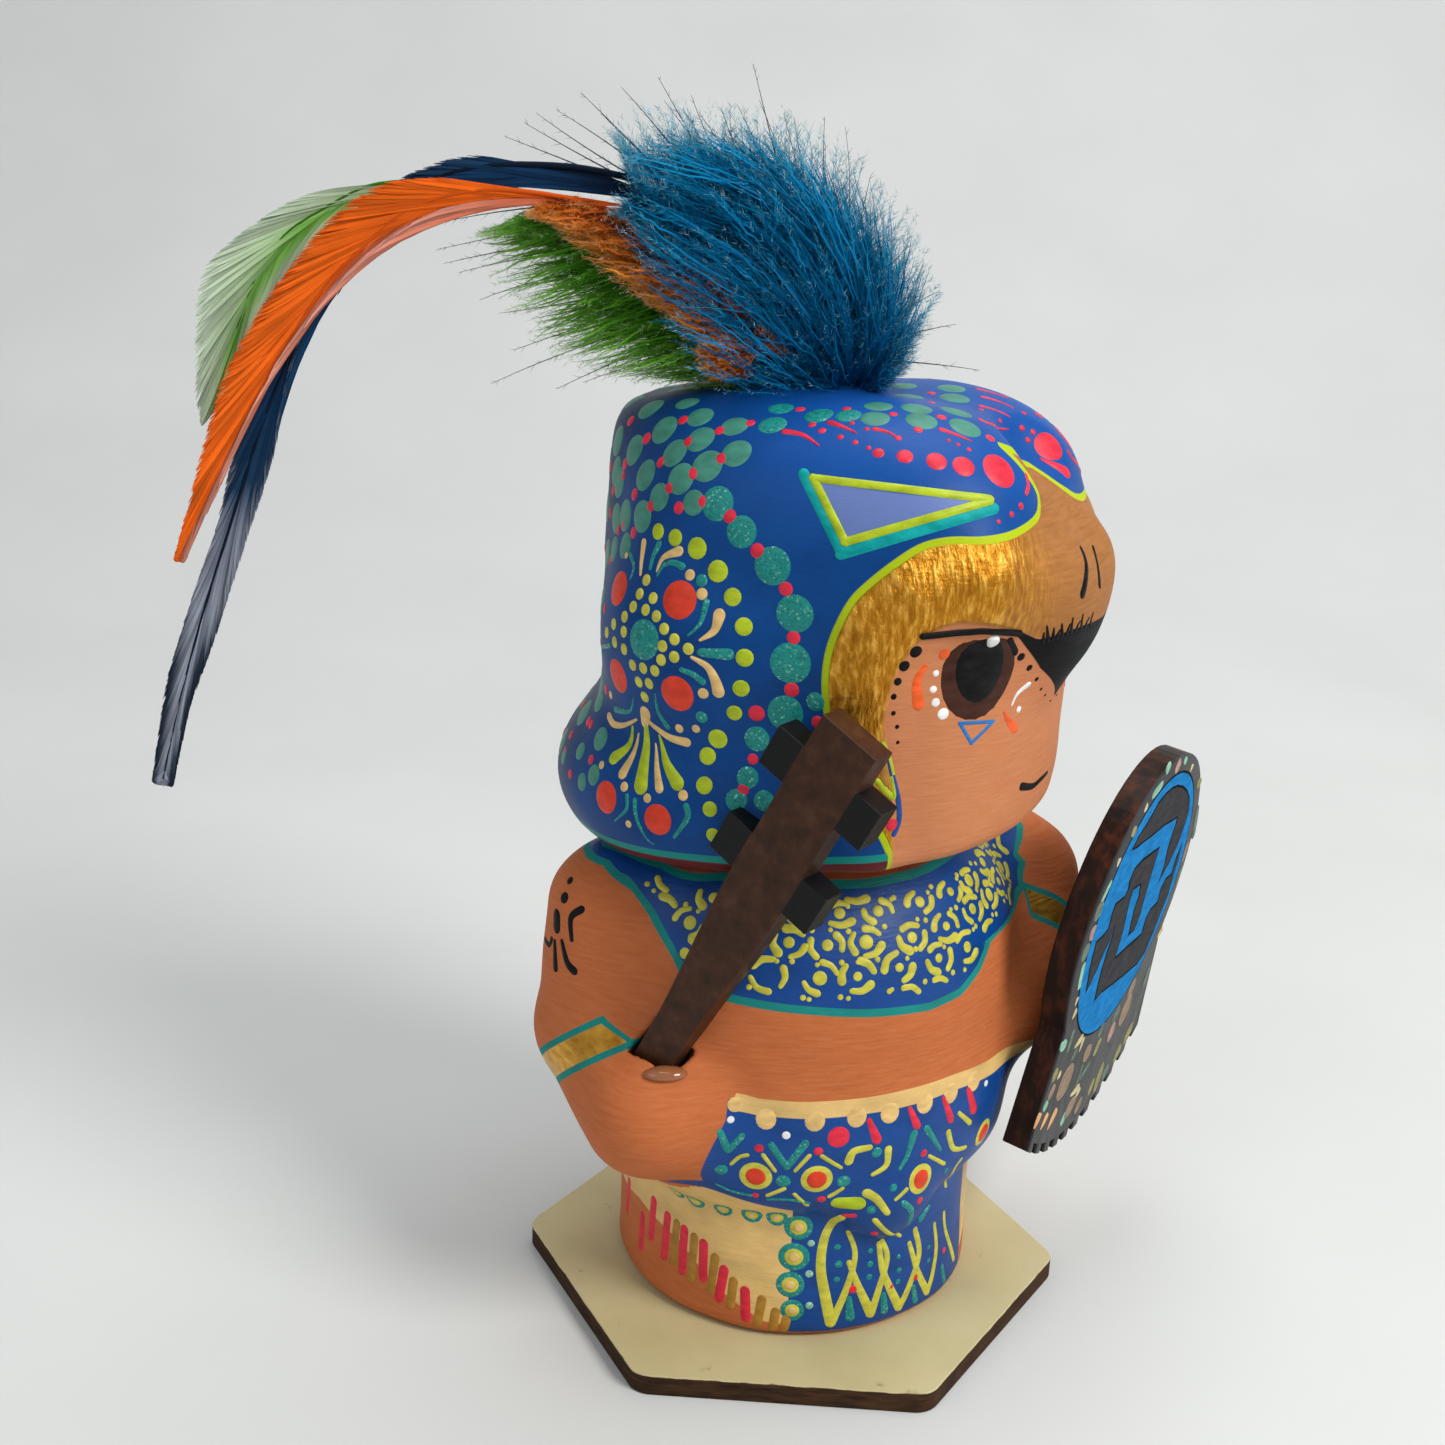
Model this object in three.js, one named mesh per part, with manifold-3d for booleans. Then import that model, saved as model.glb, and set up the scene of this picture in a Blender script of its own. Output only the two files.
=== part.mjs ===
// A painted clay figurine: a squat child warrior in a bird-headed helmet. The right hand holds a toothed
// club, the left hand a round shield with a tail, and three dyed feathers arch out of the helmet's crown.
// It stands on a hexagonal board.
// Millimetres, +Z up. The origin is the centre of the base board's underside. The body faces -Y, and the
// head is turned to the figure's left.
import * as THREE from "three";
import { mergeVertices } from "three/addons/utils/BufferGeometryUtils.js";
import Module from "manifold-3d";

const wasm = await Module();
wasm.setup();

// Fits
const TOUCH_GAP = 0.3; // left between pieces that touch
const HOLE_CLEARANCE = 0.35; // round the club in its hole

// Base board
const PLATE_SIDE = 39; // of the hexagon, which has two corners on the Y axis
const PLATE_T = 3;
const PLATE_CORNER_R = 3.6;

// Clay figure
const FIGURE_HEIGHT = 125.2; // foot to crown
const FIGURE_AT = [0.8, 1.4]; // the foot's centre on the board
const CROWN_HOLE_R = 3.2;
const QUILL_DEPTH = 6; // of the feathers in the crown

// Club and shield, both cut from one board
const BOARD_T = 3.9;
const CLUB_LENGTH = 55; // above the hand
const CLUB_IN_HAND = 8;
const CLUB_BLADE_W = 8.4;
const CLUB_HANDLE_W = 5.3;
const CLUB_TAPER = 28; // length over which the handle widens into the blade
const TOOTH_OUT = 4; // past the blade's edge
const TOOTH_L = 5.8;
const TOOTH_FROM_END = 5;
const TOOTH_PITCH = 13.9;
const TEETH_A_SIDE = 2;
const CLUB_FACES = -62; // degrees round from the figure's front
const CLUB_TILT = 1.7; // degrees that its face looks up
const CLUB_LEAN = 27.6; // degrees off upright, in its own face

const SHIELD_R = 23;
const SHIELD_WAIST_W = 39.6;
const SHIELD_WAIST_DROP = 10; // below the shield's centre
const SHIELD_WAIST_L = 2; // down to where the tail begins
const SHIELD_TAIL_W = 45.6;
const SHIELD_TAIL_DROP = 30; // of the tail's corners
const SHIELD_LENGTH = 37.7; // centre to the tail's lowest point
const NOTCH_COUNT = 10;
const NOTCH_DEPTH = 1.7;
const SHIELD_FACES = 32.8;
const SHIELD_TILT = -8.6;
const SHIELD_HELD_AT = [-10.6, -14]; // where the hand is behind it, from the shield's centre

// Feathers
const PLUME_REACH = 91; // from the crown out to the blue feather's tip
const PLUME_SWEEPS = 153.6; // degrees round from +X
const QUILL_R = 0.7;
const VANE_HALF_T = 0.6;
const LAYER = 2.7; // between the feathers' vanes, which lie one behind the other
const LAYER_AT_ROOT = 1.3; // between their quills in the crown
const DOWN_STARTS = 0.5; // above the crown
const DOWN_SWELLS = 7; // length over which the down comes to its full width
const DOWN_THINS_AT = 0.55; // share of the down's length where it begins to thin
const VANE_OPENS_AT = 0.5; // share of the down's length where the vane begins
const TIP_TAPER = 14;
const TIP_HALF_W = 0.3;

// Grid steps for the clay's surface, and the heights where the crevices need a finer one. The form goes
// on a little below the board, and is cut level there.
const CELL = 3.55;
const MARGIN = 1.5 * CELL;
const SUNK = 0.6 * MARGIN;
const FINE_CELL = 2.3;
const FINE_HEIGHTS = [
  [17, 27],
  [61, 73],
];

const PAINT = {
  board: { color: 0xcfc6a4, roughness: 0.7 },
  clay: { color: 0xb5683f, roughness: 0.8 },
  club: { color: 0x4a2c1d, roughness: 0.6 },
  shield: { color: 0x3b3a3c, roughness: 0.6 },
  blue: { color: 0x123a78, roughness: 0.9 },
  orange: { color: 0xd9571c, roughness: 0.9 },
  green: { color: 0x5f8f3a, roughness: 0.9 },
};

// The figure's form. Its numbers are in its own units, of which its height holds FORM_HEIGHT, and its
// parts are distances to simple solids, melted into each other over a width k.
const FORM_HEIGHT = 125.2;
const UNIT = FIGURE_HEIGHT / FORM_HEIGHT;
const HEAD_AXIS = [0.9, -1.1];
const HEAD_TURN = 38.5; // degrees to the figure's left
const RIGHT_HAND = { at: [-29.3, -12.3, 33.7], r: 8.9 };
const LEFT_HAND = { at: [26, -13, 41.4], r: 8.8 };
const FORM_SPARE = 3.8; // beyond the right hand, round the space that the form is looked for in
const FORM_REACH = Math.abs(RIGHT_HAND.at[0]) + RIGHT_HAND.r + FORM_SPARE;
const CLUB_MOUTH = [1, -1.6, 9.1]; // where the club leaves the right hand, from the hand's centre
const HAND_FLAT = 0.5; // pressed off the left hand by the shield
const CREASE = 2.4; // width k of the two crevices, under the helmet's rim and under the tunic
const BRIM = [
  [7, -27.5, 104.5, 7.5],
  [16.4, -24, 106.5, 6],
  [20.8, -18.6, 105, 5],
  [22.8, -15, 100.5, 4.6],
  [23.3, -13.8, 94.5, 4.3],
  [23.2, -13.8, 88, 4],
  [23, -14.2, 82, 3.6],
  [22.5, -15.2, 72, 3.4],
]; // the rolled edge of the helmet round the face: centre and radius, on the head's left side

const radians = THREE.MathUtils.degToRad;

function smoothUnion(a, b, k) {
  const h = THREE.MathUtils.clamp(0.5 + (0.5 * (b - a)) / k, 0, 1);
  return THREE.MathUtils.lerp(b, a, h) - k * h * (1 - h);
}

function smoothCut(a, b, k) {
  return -smoothUnion(-a, b, k);
}

function ellipsoid([x, y, z], [cx, cy, cz], [rx, ry, rz]) {
  const qx = (x - cx) / rx;
  const qy = (y - cy) / ry;
  const qz = (z - cz) / rz;
  const k0 = Math.hypot(qx, qy, qz);
  const k1 = Math.hypot(qx / rx, qy / ry, qz / rz);
  return (k0 * (k0 - 1)) / Math.max(k1, 1e-6);
}

// A rounder or squarer ellipsoid: m is the power in plan and n the power in height.
function superellipsoid([x, y, z], [cx, cy, cz], [rx, ry, rz], m, n) {
  const qx = Math.abs(x - cx) / rx + 1e-6;
  const qy = Math.abs(y - cy) / ry + 1e-6;
  const qz = Math.abs(z - cz) / rz + 1e-6;
  const plan = Math.pow(qx ** m + qy ** m, 1 / m);
  const f = Math.pow(plan ** n + qz ** n, 1 / n);
  const across = f ** (1 - n) * plan ** (n - m);
  const slope = Math.hypot(
    (across * qx ** (m - 1)) / rx,
    (across * qy ** (m - 1)) / ry,
    (f ** (1 - n) * qz ** (n - 1)) / rz,
  );
  return (f - 1) / Math.max(slope, 1e-6);
}

// A round-ended rod from a to b, whose radius goes from ra to rb.
function rod([x, y, z], a, b, ra, rb) {
  const ab = [b[0] - a[0], b[1] - a[1], b[2] - a[2]];
  const ap = [x - a[0], y - a[1], z - a[2]];
  const along = ap[0] * ab[0] + ap[1] * ab[1] + ap[2] * ab[2];
  const length2 = ab[0] ** 2 + ab[1] ** 2 + ab[2] ** 2;
  const t = THREE.MathUtils.clamp(along / length2, 0, 1);
  const off = Math.hypot(ap[0] - ab[0] * t, ap[1] - ab[1] * t, ap[2] - ab[2] * t);
  return off - (ra + (rb - ra) * t);
}

function turned([x, y, z], degrees) {
  const c = Math.cos(radians(degrees));
  const s = Math.sin(radians(degrees));
  return [c * x + s * y, -s * x + c * y, z];
}

function skirt([x, y, z]) {
  const r = 25.4 - 0.018 * z;
  return Math.max(Math.hypot(x, y) - r, z - 22.7);
}

function tunic(p) {
  const hips = superellipsoid(p, [0, 0, 28.2], [30.3, 28.3, 15], 2, 2.6);
  const point = ellipsoid(p, [0, -24.5, 20.2], [5.5, 4, 5.5]);
  return smoothUnion(hips, point, 5);
}

function rightArm(p) {
  const upper = rod(p, [-27, 4, 55.7], [-28.5, 4.5, 38.7], 9.5, 9.5);
  const fore = rod(p, [-28.5, 4.5, 37.7], RIGHT_HAND.at, 9.5, RIGHT_HAND.r);
  return smoothUnion(upper, fore, 2);
}

function leftArm(p) {
  const elbow = [33.5, -2, 52.7];
  const upper = rod(p, [27, 3, 58.2], elbow, 9.3, 9);
  const fore = rod(p, elbow, LEFT_HAND.at, 9, LEFT_HAND.r);
  return smoothUnion(upper, fore, 2);
}

function body(p) {
  const chest = ellipsoid(p, [0, 0, 46.7], [31, 28, 27]);
  let d = smoothUnion(skirt(p), tunic(p), CREASE);
  d = smoothUnion(d, chest, 8);
  d = smoothUnion(d, rightArm(p), 7);
  return smoothUnion(d, leftArm(p), 5);
}

function brim(p) {
  let d = Infinity;
  BRIM.slice(1).forEach(([x, y, z, r], i) => {
    const [x0, y0, z0, r0] = BRIM[i];
    const piece = rod(p, [x0, y0, z0], [x, y, z], r0, r);
    d = d === Infinity ? piece : smoothUnion(d, piece, 2);
  });
  return d;
}

// The head is the same on both sides of x = 0. Its lower rim slopes down towards the back.
function head([x, y, z]) {
  const p = [Math.abs(x), y, z];
  const skull = superellipsoid(p, [0, -1.4, 94], [28.5, 29.1, 31], 2.5, 4);
  const backOfHead = superellipsoid(p, [0, 7.3, 107.8], [19, 22.9, 16], 2.5, 6);
  const flare = ellipsoid(p, [0, 5.2, 73.4], [31.5, 31.5, 16.8]);
  const earMound = ellipsoid(p, [11.6, 6.5, 95], [19.2, 19.2, 19.2]);
  const browLobe = ellipsoid(p, [10, -11.5, 112.7], [14, 17, 12]);
  const beak = ellipsoid(p, [0, -20.5, 101.2], [16, 15.5, 14]);
  const notch = ellipsoid(p, [0, -31, 122.2], [7, 9.5, 6]);
  const underRim = 68.7 - 0.12 * y - z;
  let d = smoothUnion(skull, backOfHead, 4);
  d = smoothUnion(d, flare, 8);
  d = smoothUnion(d, earMound, 3);
  d = smoothUnion(d, browLobe, 4);
  d = smoothUnion(d, beak, 4);
  d = smoothUnion(d, brim(p), 4);
  d = smoothCut(d, notch, 3);
  return smoothCut(d, -underRim, 3);
}

function figureForm([x, y, z]) {
  const p = [x / UNIT, y / UNIT, z / UNIT];
  const onHead = turned([p[0] - HEAD_AXIS[0], p[1] - HEAD_AXIS[1], p[2]], HEAD_TURN);
  return smoothUnion(body(p), head(onHead), CREASE) * UNIT;
}

const inFigure = (units) => new THREE.Vector3(...units).multiplyScalar(UNIT);

// Solids and geometries
function solidOf(geometry) {
  const bare = geometry.index ? geometry.toNonIndexed() : geometry.clone();
  bare.deleteAttribute("normal");
  bare.deleteAttribute("uv");
  const merged = mergeVertices(bare, 1e-4);
  return new wasm.Manifold(
    new wasm.Mesh({
      numProp: 3,
      vertProperties: new Float32Array(merged.attributes.position.array),
      triVerts: new Uint32Array(merged.index.array),
    }),
  );
}

function geometryOf(solid) {
  const mesh = solid.getMesh();
  const geometry = new THREE.BufferGeometry();
  const position = new THREE.BufferAttribute(new Float32Array(mesh.vertProperties), mesh.numProp);
  geometry.setAttribute("position", position);
  geometry.setIndex(new THREE.BufferAttribute(new Uint32Array(mesh.triVerts), 1));
  geometry.computeVertexNormals();
  return geometry;
}

function closedGeometry(positions, faces) {
  const geometry = new THREE.BufferGeometry();
  geometry.setAttribute("position", new THREE.Float32BufferAttribute(positions, 3));
  geometry.setIndex(faces);
  geometry.computeVertexNormals();
  return geometry;
}

// Grid lines from one value to another, closer together inside the fine ranges.
function gridLines(from, to, step, fineRanges = []) {
  const lines = [from];
  while (lines.at(-1) < to) {
    const here = lines.at(-1);
    const fine = fineRanges.some(([low, high]) => here >= low && here < high);
    lines.push(here + (fine ? FINE_CELL : step));
  }
  return lines;
}

// Moves a point along the slope of a form until it lies on its surface, without leaving its grid cell.
function settle(point, form, low, high) {
  const e = 0.02;
  for (let turn = 0; turn < 4; turn += 1) {
    const d = form(point);
    const slope = [0, 1, 2].map((axis) => {
      const ahead = [...point];
      const behind = [...point];
      ahead[axis] += e;
      behind[axis] -= e;
      return (form(ahead) - form(behind)) / (2 * e);
    });
    const length2 = Math.max(slope[0] ** 2 + slope[1] ** 2 + slope[2] ** 2, 0.25);
    const step = THREE.MathUtils.clamp(d, -1, 1) / length2;
    const moved = point.map((value, axis) => value - slope[axis] * step);
    point = moved.map((value, axis) => THREE.MathUtils.clamp(value, low[axis], high[axis]));
  }
  return point;
}

// The closed surface of a form: a vertex in each grid cell that it passes through, and four such
// vertices joined round each grid edge that it crosses.
function surfaceOf(form, lines) {
  const [nx, ny, nz] = lines.map((line) => line.length);
  const index = ([i, j, k]) => (k * ny + j) * nx + i;
  const place = (node) => node.map((n, axis) => lines[axis][n]);
  const value = new Float64Array(nx * ny * nz);
  const nodes = [];
  for (let k = 0; k < nz; k += 1)
    for (let j = 0; j < ny; j += 1)
      for (let i = 0; i < nx; i += 1) nodes.push([i, j, k]);
  nodes.forEach((node) => (value[index(node)] = form(place(node))));

  const corners = [0, 1, 2, 3, 4, 5, 6, 7].map((c) => [c & 1, (c >> 1) & 1, (c >> 2) & 1]);
  const edges = [];
  corners.forEach((a, i) =>
    corners.slice(i + 1).forEach((b) => {
      const apart = [0, 1, 2].filter((axis) => a[axis] !== b[axis]);
      if (apart.length === 1) edges.push([a, b]);
    }),
  );
  const plus = (node, by) => node.map((n, axis) => n + by[axis]);

  const positions = [];
  const vertexOf = new Map();
  nodes.forEach((node) => {
    if (node[0] === nx - 1 || node[1] === ny - 1 || node[2] === nz - 1) return;
    const crossings = [];
    edges.forEach(([a, b]) => {
      const nodeA = plus(node, a);
      const nodeB = plus(node, b);
      const va = value[index(nodeA)];
      const vb = value[index(nodeB)];
      if (va < 0 === vb < 0) return;
      const t = va / (va - vb);
      const pa = place(nodeA);
      const pb = place(nodeB);
      crossings.push(pa.map((v, axis) => v + (pb[axis] - v) * t));
    });
    if (!crossings.length) return;
    const total = (axis) => crossings.reduce((sum, crossing) => sum + crossing[axis], 0);
    const mean = [0, 1, 2].map((axis) => total(axis) / crossings.length);
    vertexOf.set(index(node), positions.length / 3);
    positions.push(...settle(mean, form, place(node), place(plus(node, [1, 1, 1]))));
  });

  const faces = [];
  const corner = (v) => new THREE.Vector3().fromArray(positions, v * 3);
  nodes.forEach((node) => {
    [0, 1, 2].forEach((axis) => {
      const b = (axis + 1) % 3;
      const c = (axis + 2) % 3;
      if (node[b] === 0 || node[c] === 0 || node[axis] === lines[axis].length - 1) return;
      const next = [...node];
      next[axis] += 1;
      const inside = value[index(node)] < 0;
      if (inside === value[index(next)] < 0) return;
      const quad = [
        [-1, -1],
        [0, -1],
        [0, 0],
        [-1, 0],
      ].map(([ob, oc]) => {
        const cell = [...node];
        cell[b] += ob;
        cell[c] += oc;
        return vertexOf.get(index(cell));
      });
      if (!inside) quad.reverse();
      const [v0, v1, v2, v3] = quad;
      const shortWay = corner(v0).distanceTo(corner(v2)) < corner(v1).distanceTo(corner(v3));
      if (shortWay) faces.push(v0, v1, v2, v0, v2, v3);
      else faces.push(v1, v2, v3, v1, v3, v0);
    });
  });
  return closedGeometry(positions, faces);
}

// A board's own frame: x across it, y up it and z out of its face, at a point of the figure.
function boardPose(point, faces, tilt, lean = 0) {
  const out = new THREE.Vector3(
    Math.sin(radians(faces)) * Math.cos(radians(tilt)),
    -Math.cos(radians(faces)) * Math.cos(radians(tilt)),
    Math.sin(radians(tilt)),
  );
  const across = new THREE.Vector3(Math.cos(radians(faces)), Math.sin(radians(faces)), 0);
  const up = new THREE.Vector3().crossVectors(out, across);
  const pose = new THREE.Matrix4().makeBasis(across, up, out);
  pose.multiply(new THREE.Matrix4().makeRotationZ(-radians(lean)));
  return pose.setPosition(point);
}

function hexagonBoard() {
  const shape = new THREE.Shape();
  const inset = PLATE_CORNER_R / Math.cos(radians(30));
  for (let k = 0; k < 6; k += 1) {
    const angle = radians(90 + 60 * k);
    const r = PLATE_SIDE - inset;
    const from = angle - radians(30);
    const to = angle + radians(30);
    shape.absarc(r * Math.cos(angle), r * Math.sin(angle), PLATE_CORNER_R, from, to);
  }
  shape.closePath();
  return new THREE.ExtrudeGeometry(shape, { depth: PLATE_T, bevelEnabled: false, curveSegments: 6 });
}

// The club's outline, with y = 0 where it leaves the hand. Grown by a clearance it cuts its own hole.
function clubOutline(grown = 0) {
  const handle = CLUB_HANDLE_W / 2 + grown;
  const blade = CLUB_BLADE_W / 2 + grown;
  const tooth = CLUB_BLADE_W / 2 + TOOTH_OUT + grown;
  const taperTop = CLUB_LENGTH - TOOTH_FROM_END - TOOTH_PITCH * (TEETH_A_SIDE - 1) - TOOTH_L;
  const taperFoot = taperTop - CLUB_TAPER;
  const side = [];
  side.push([handle, -CLUB_IN_HAND - grown]);
  const steps = 8;
  for (let i = 0; i <= steps; i += 1) {
    const t = i / steps;
    const y = THREE.MathUtils.lerp(taperFoot, taperTop, t);
    if (y > -CLUB_IN_HAND) side.push([THREE.MathUtils.lerp(handle, blade, t * t * (3 - 2 * t)), y]);
  }
  for (let k = TEETH_A_SIDE - 1; k >= 0; k -= 1) {
    const top = CLUB_LENGTH - TOOTH_FROM_END - TOOTH_PITCH * k;
    if (k < TEETH_A_SIDE - 1) side.push([blade, top - TOOTH_L]);
    side.push([tooth, top - TOOTH_L], [tooth, top], [blade, top]);
  }
  side.push([blade, CLUB_LENGTH + grown]);
  const otherSide = side.map(([x, y]) => [-x, y]).reverse();
  return new THREE.Shape([...side, ...otherSide].map(([x, y]) => new THREE.Vector2(x, y)));
}

function clubBoard(grown = 0) {
  const depth = BOARD_T + 2 * grown;
  const geometry = new THREE.ExtrudeGeometry(clubOutline(grown), { depth, bevelEnabled: false });
  return geometry.translate(0, 0, -depth / 2);
}

// The shield's outline round its centre: a disc above, and below the waist a tail with a notched edge.
function shieldOutline(grown = 0) {
  const r = SHIELD_R + grown;
  const waist = SHIELD_WAIST_W / 2 + grown;
  const tail = SHIELD_TAIL_W / 2 + grown;
  const points = [];
  const from = -Math.asin(SHIELD_WAIST_DROP / SHIELD_R);
  const arcSteps = 40;
  for (let i = 0; i <= arcSteps; i += 1) {
    const angle = THREE.MathUtils.lerp(from, Math.PI - from, i / arcSteps);
    points.push([r * Math.cos(angle), r * Math.sin(angle)]);
  }
  points.push([-waist, -SHIELD_WAIST_DROP - SHIELD_WAIST_L]);
  points.push([-tail, -SHIELD_TAIL_DROP]);
  const sag = SHIELD_LENGTH - SHIELD_TAIL_DROP;
  const lowest = (x) => -SHIELD_TAIL_DROP - grown - sag * (1 - (x / tail) ** 2);
  const stretches = 2 * NOTCH_COUNT + 1;
  for (let i = 0; i < stretches; i += 1) {
    const raised = i % 2 ? NOTCH_DEPTH : 0;
    const x0 = THREE.MathUtils.lerp(-tail, tail, i / stretches);
    const x1 = THREE.MathUtils.lerp(-tail, tail, (i + 1) / stretches);
    points.push([x0, lowest(x0) + raised - 0.01], [x1, lowest(x1) + raised - 0.01]);
  }
  points.push([tail, -SHIELD_TAIL_DROP]);
  points.push([waist, -SHIELD_WAIST_DROP - SHIELD_WAIST_L]);
  return new THREE.Shape(points.map(([x, y]) => new THREE.Vector2(x, y)));
}

// Its front face is at z = 0.
function shieldBoard(grown = 0) {
  const depth = BOARD_T + 2 * grown;
  const geometry = new THREE.ExtrudeGeometry(shieldOutline(grown), { depth, bevelEnabled: false });
  return geometry.translate(0, 0, grown - depth);
}

// A feather lies along a curve in the plume's upright plane, x out and y up from the crown, in
// hundredths of the reach. The quill is plain, the down swells above the crown, and the vane is flat.
const FEATHERS = {
  blue: {
    layer: 0,
    root: -1.5,
    down: { halfW: 5.6, halfT: 5.4, ends: 45 },
    vaneHalfW: 2.7,
    route: [
      [-1.1, 8.8], [2.2, 18.7], [9.9, 25.8], [22, 28.9], [34, 28.9], [44, 27.7], [57.1, 24.2],
      [67, 17], [74.7, 6.6], [82, -8.2], [86.7, -21.6], [92.3, -37.9], [95.8, -47.8], [100, -63.7],
    ],
  },
  orange: {
    layer: -1,
    root: 1.5,
    down: { halfW: 3, halfT: 2, ends: 38 },
    vaneHalfW: 3.3,
    route: [
      [8.8, 7.7], [17.6, 14.3], [29.7, 19.8], [39.6, 23.4], [53.8, 24.8], [61.8, 23], [67.7, 19.3],
      [73.1, 13.6], [78.4, 6.5], [83.5, -1.6], [87.5, -9.9], [91.8, -19.8], [95.3, -28.1],
    ],
  },
  green: {
    layer: 1,
    root: 1.5,
    down: { halfW: 3, halfT: 2, ends: 38 },
    vaneHalfW: 3.1,
    route: [
      [8.8, 7.7], [17.6, 14.3], [29.7, 19.8], [41.8, 24.5], [54.9, 27], [68.2, 25.3], [76.4, 19.2],
      [83, 11.9], [87.4, 1.1], [91, -9.9],
    ],
  },
};

function featherGeometry({ layer, root, down, vaneHalfW, route }) {
  const share = PLUME_REACH / 100;
  const rootDepth = layer * LAYER_AT_ROOT;
  const points = [
    [root, -QUILL_DEPTH, rootDepth],
    [root, DOWN_STARTS, rootDepth],
    ...route.map(([x, y]) => [x * share, y * share, layer * LAYER]),
  ];
  const places = points.map((point) => new THREE.Vector3(...point));
  const curve = new THREE.CatmullRomCurve3(places, false, "centripetal");
  const length = curve.getLength();
  const rings = 30;
  const sides = 8;
  const smooth = THREE.MathUtils.smoothstep;
  const positions = [];
  const faces = [];
  for (let i = 0; i <= rings; i += 1) {
    const t = i / rings;
    const centre = curve.getPointAt(t);
    const tangent = curve.getTangentAt(t);
    const across = new THREE.Vector3(-tangent.y, tangent.x, 0).normalize();
    const s = t * length - QUILL_DEPTH - DOWN_STARTS;
    const isDown = smooth(s, 0, DOWN_SWELLS) * (1 - smooth(s, down.ends * DOWN_THINS_AT, down.ends));
    const isVane = smooth(s, down.ends * VANE_OPENS_AT, down.ends) * (1 - isDown);
    const taper = Math.sqrt(THREE.MathUtils.clamp((length * (1 - t)) / TIP_TAPER, 0, 1));
    const vaneW = vaneHalfW * taper;
    const halfW = QUILL_R + (down.halfW - QUILL_R) * isDown + (vaneW - QUILL_R) * isVane;
    const halfT = QUILL_R + (down.halfT - QUILL_R) * isDown + (VANE_HALF_T - QUILL_R) * isVane;
    for (let k = 0; k < sides; k += 1) {
      const angle = (2 * Math.PI * k) / sides;
      const point = centre.clone().addScaledVector(across, Math.max(halfW, TIP_HALF_W) * Math.cos(angle));
      point.z += halfT * Math.sin(angle);
      positions.push(...point.toArray());
    }
  }
  const rootCentre = positions.length / 3;
  positions.push(...curve.getPointAt(0).toArray());
  positions.push(...curve.getPointAt(1).toArray());
  for (let k = 0; k < sides; k += 1) {
    const next = (k + 1) % sides;
    for (let i = 0; i < rings; i += 1) {
      const a = i * sides + k;
      const b = i * sides + next;
      faces.push(a, b, b + sides, a, b + sides, a + sides);
    }
    faces.push(rootCentre, next, k);
    faces.push(rootCentre + 1, rings * sides + k, rings * sides + next);
  }
  return closedGeometry(positions, faces);
}

function piece(name, geometry, look) {
  const mesh = new THREE.Mesh(geometry, new THREE.MeshStandardMaterial({ metalness: 0, ...look }));
  mesh.name = name;
  return mesh;
}

// Where things are held, in the figure's frame
const crown = inFigure([HEAD_AXIS[0], HEAD_AXIS[1], FORM_HEIGHT]);
const clubMouth = inFigure(RIGHT_HAND.at).add(inFigure(CLUB_MOUTH));
const clubPose = boardPose(clubMouth, CLUB_FACES, CLUB_TILT, CLUB_LEAN);

function shieldPose() {
  const pose = boardPose(new THREE.Vector3(), SHIELD_FACES, SHIELD_TILT);
  const handToBack = (LEFT_HAND.r - HAND_FLAT) * UNIT;
  const [x, y] = SHIELD_HELD_AT;
  const fromHand = new THREE.Vector3(-x, -y, handToBack + BOARD_T).applyMatrix4(pose);
  return pose.setPosition(fromHand.add(inFigure(LEFT_HAND.at)));
}

function plumePose() {
  const out = new THREE.Vector3(Math.cos(radians(PLUME_SWEEPS)), Math.sin(radians(PLUME_SWEEPS)), 0);
  const up = new THREE.Vector3(0, 0, 1);
  const behind = new THREE.Vector3().crossVectors(out, up);
  return new THREE.Matrix4().makeBasis(out, up, behind).setPosition(crown);
}

function clayFigure() {
  const half = FORM_REACH * UNIT;
  const fineRanges = FINE_HEIGHTS.map((range) => range.map((z) => z * UNIT));
  const lines = [
    gridLines(-half, half, CELL),
    gridLines(-half, half, CELL),
    gridLines(-MARGIN, FIGURE_HEIGHT + MARGIN, CELL, fineRanges),
  ];
  const ground = new THREE.BoxGeometry(4 * half, 4 * half, 4 * MARGIN).translate(0, 0, -2 * MARGIN);
  const crownHole = new THREE.CylinderGeometry(CROWN_HOLE_R, CROWN_HOLE_R, 4 * QUILL_DEPTH, 20)
    .rotateX(Math.PI / 2)
    .translate(crown.x, crown.y, crown.z + QUILL_DEPTH - TOUCH_GAP);
  const clay = solidOf(surfaceOf((p) => Math.max(figureForm(p), -SUNK - p[2]), lines));
  const cut = [
    ground,
    crownHole,
    clubBoard(HOLE_CLEARANCE).applyMatrix4(clubPose),
    shieldBoard(TOUCH_GAP).applyMatrix4(shieldPose()),
  ].reduce((solid, tool) => solid.subtract(solidOf(tool)), clay);
  return geometryOf(cut);
}

const figurine = new THREE.Group();
figurine.add(piece("base_plate", hexagonBoard(), PAINT.board));

const figure = new THREE.Group();
figure.position.set(...FIGURE_AT, PLATE_T + TOUCH_GAP);
figurine.add(figure);
figure.add(piece("clay_figure", clayFigure(), PAINT.clay));

const club = piece("club", clubBoard(), PAINT.club);
club.applyMatrix4(clubPose);
figure.add(club);

const shield = piece("shield", shieldBoard(), PAINT.shield);
shield.applyMatrix4(shieldPose());
figure.add(shield);

const plume = new THREE.Group();
plume.applyMatrix4(plumePose());
figure.add(plume);
Object.entries(FEATHERS).forEach(([colour, feather]) => {
  plume.add(piece("feather_" + colour, featherGeometry(feather), PAINT[colour]));
});

export default figurine;
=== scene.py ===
import math

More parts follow.
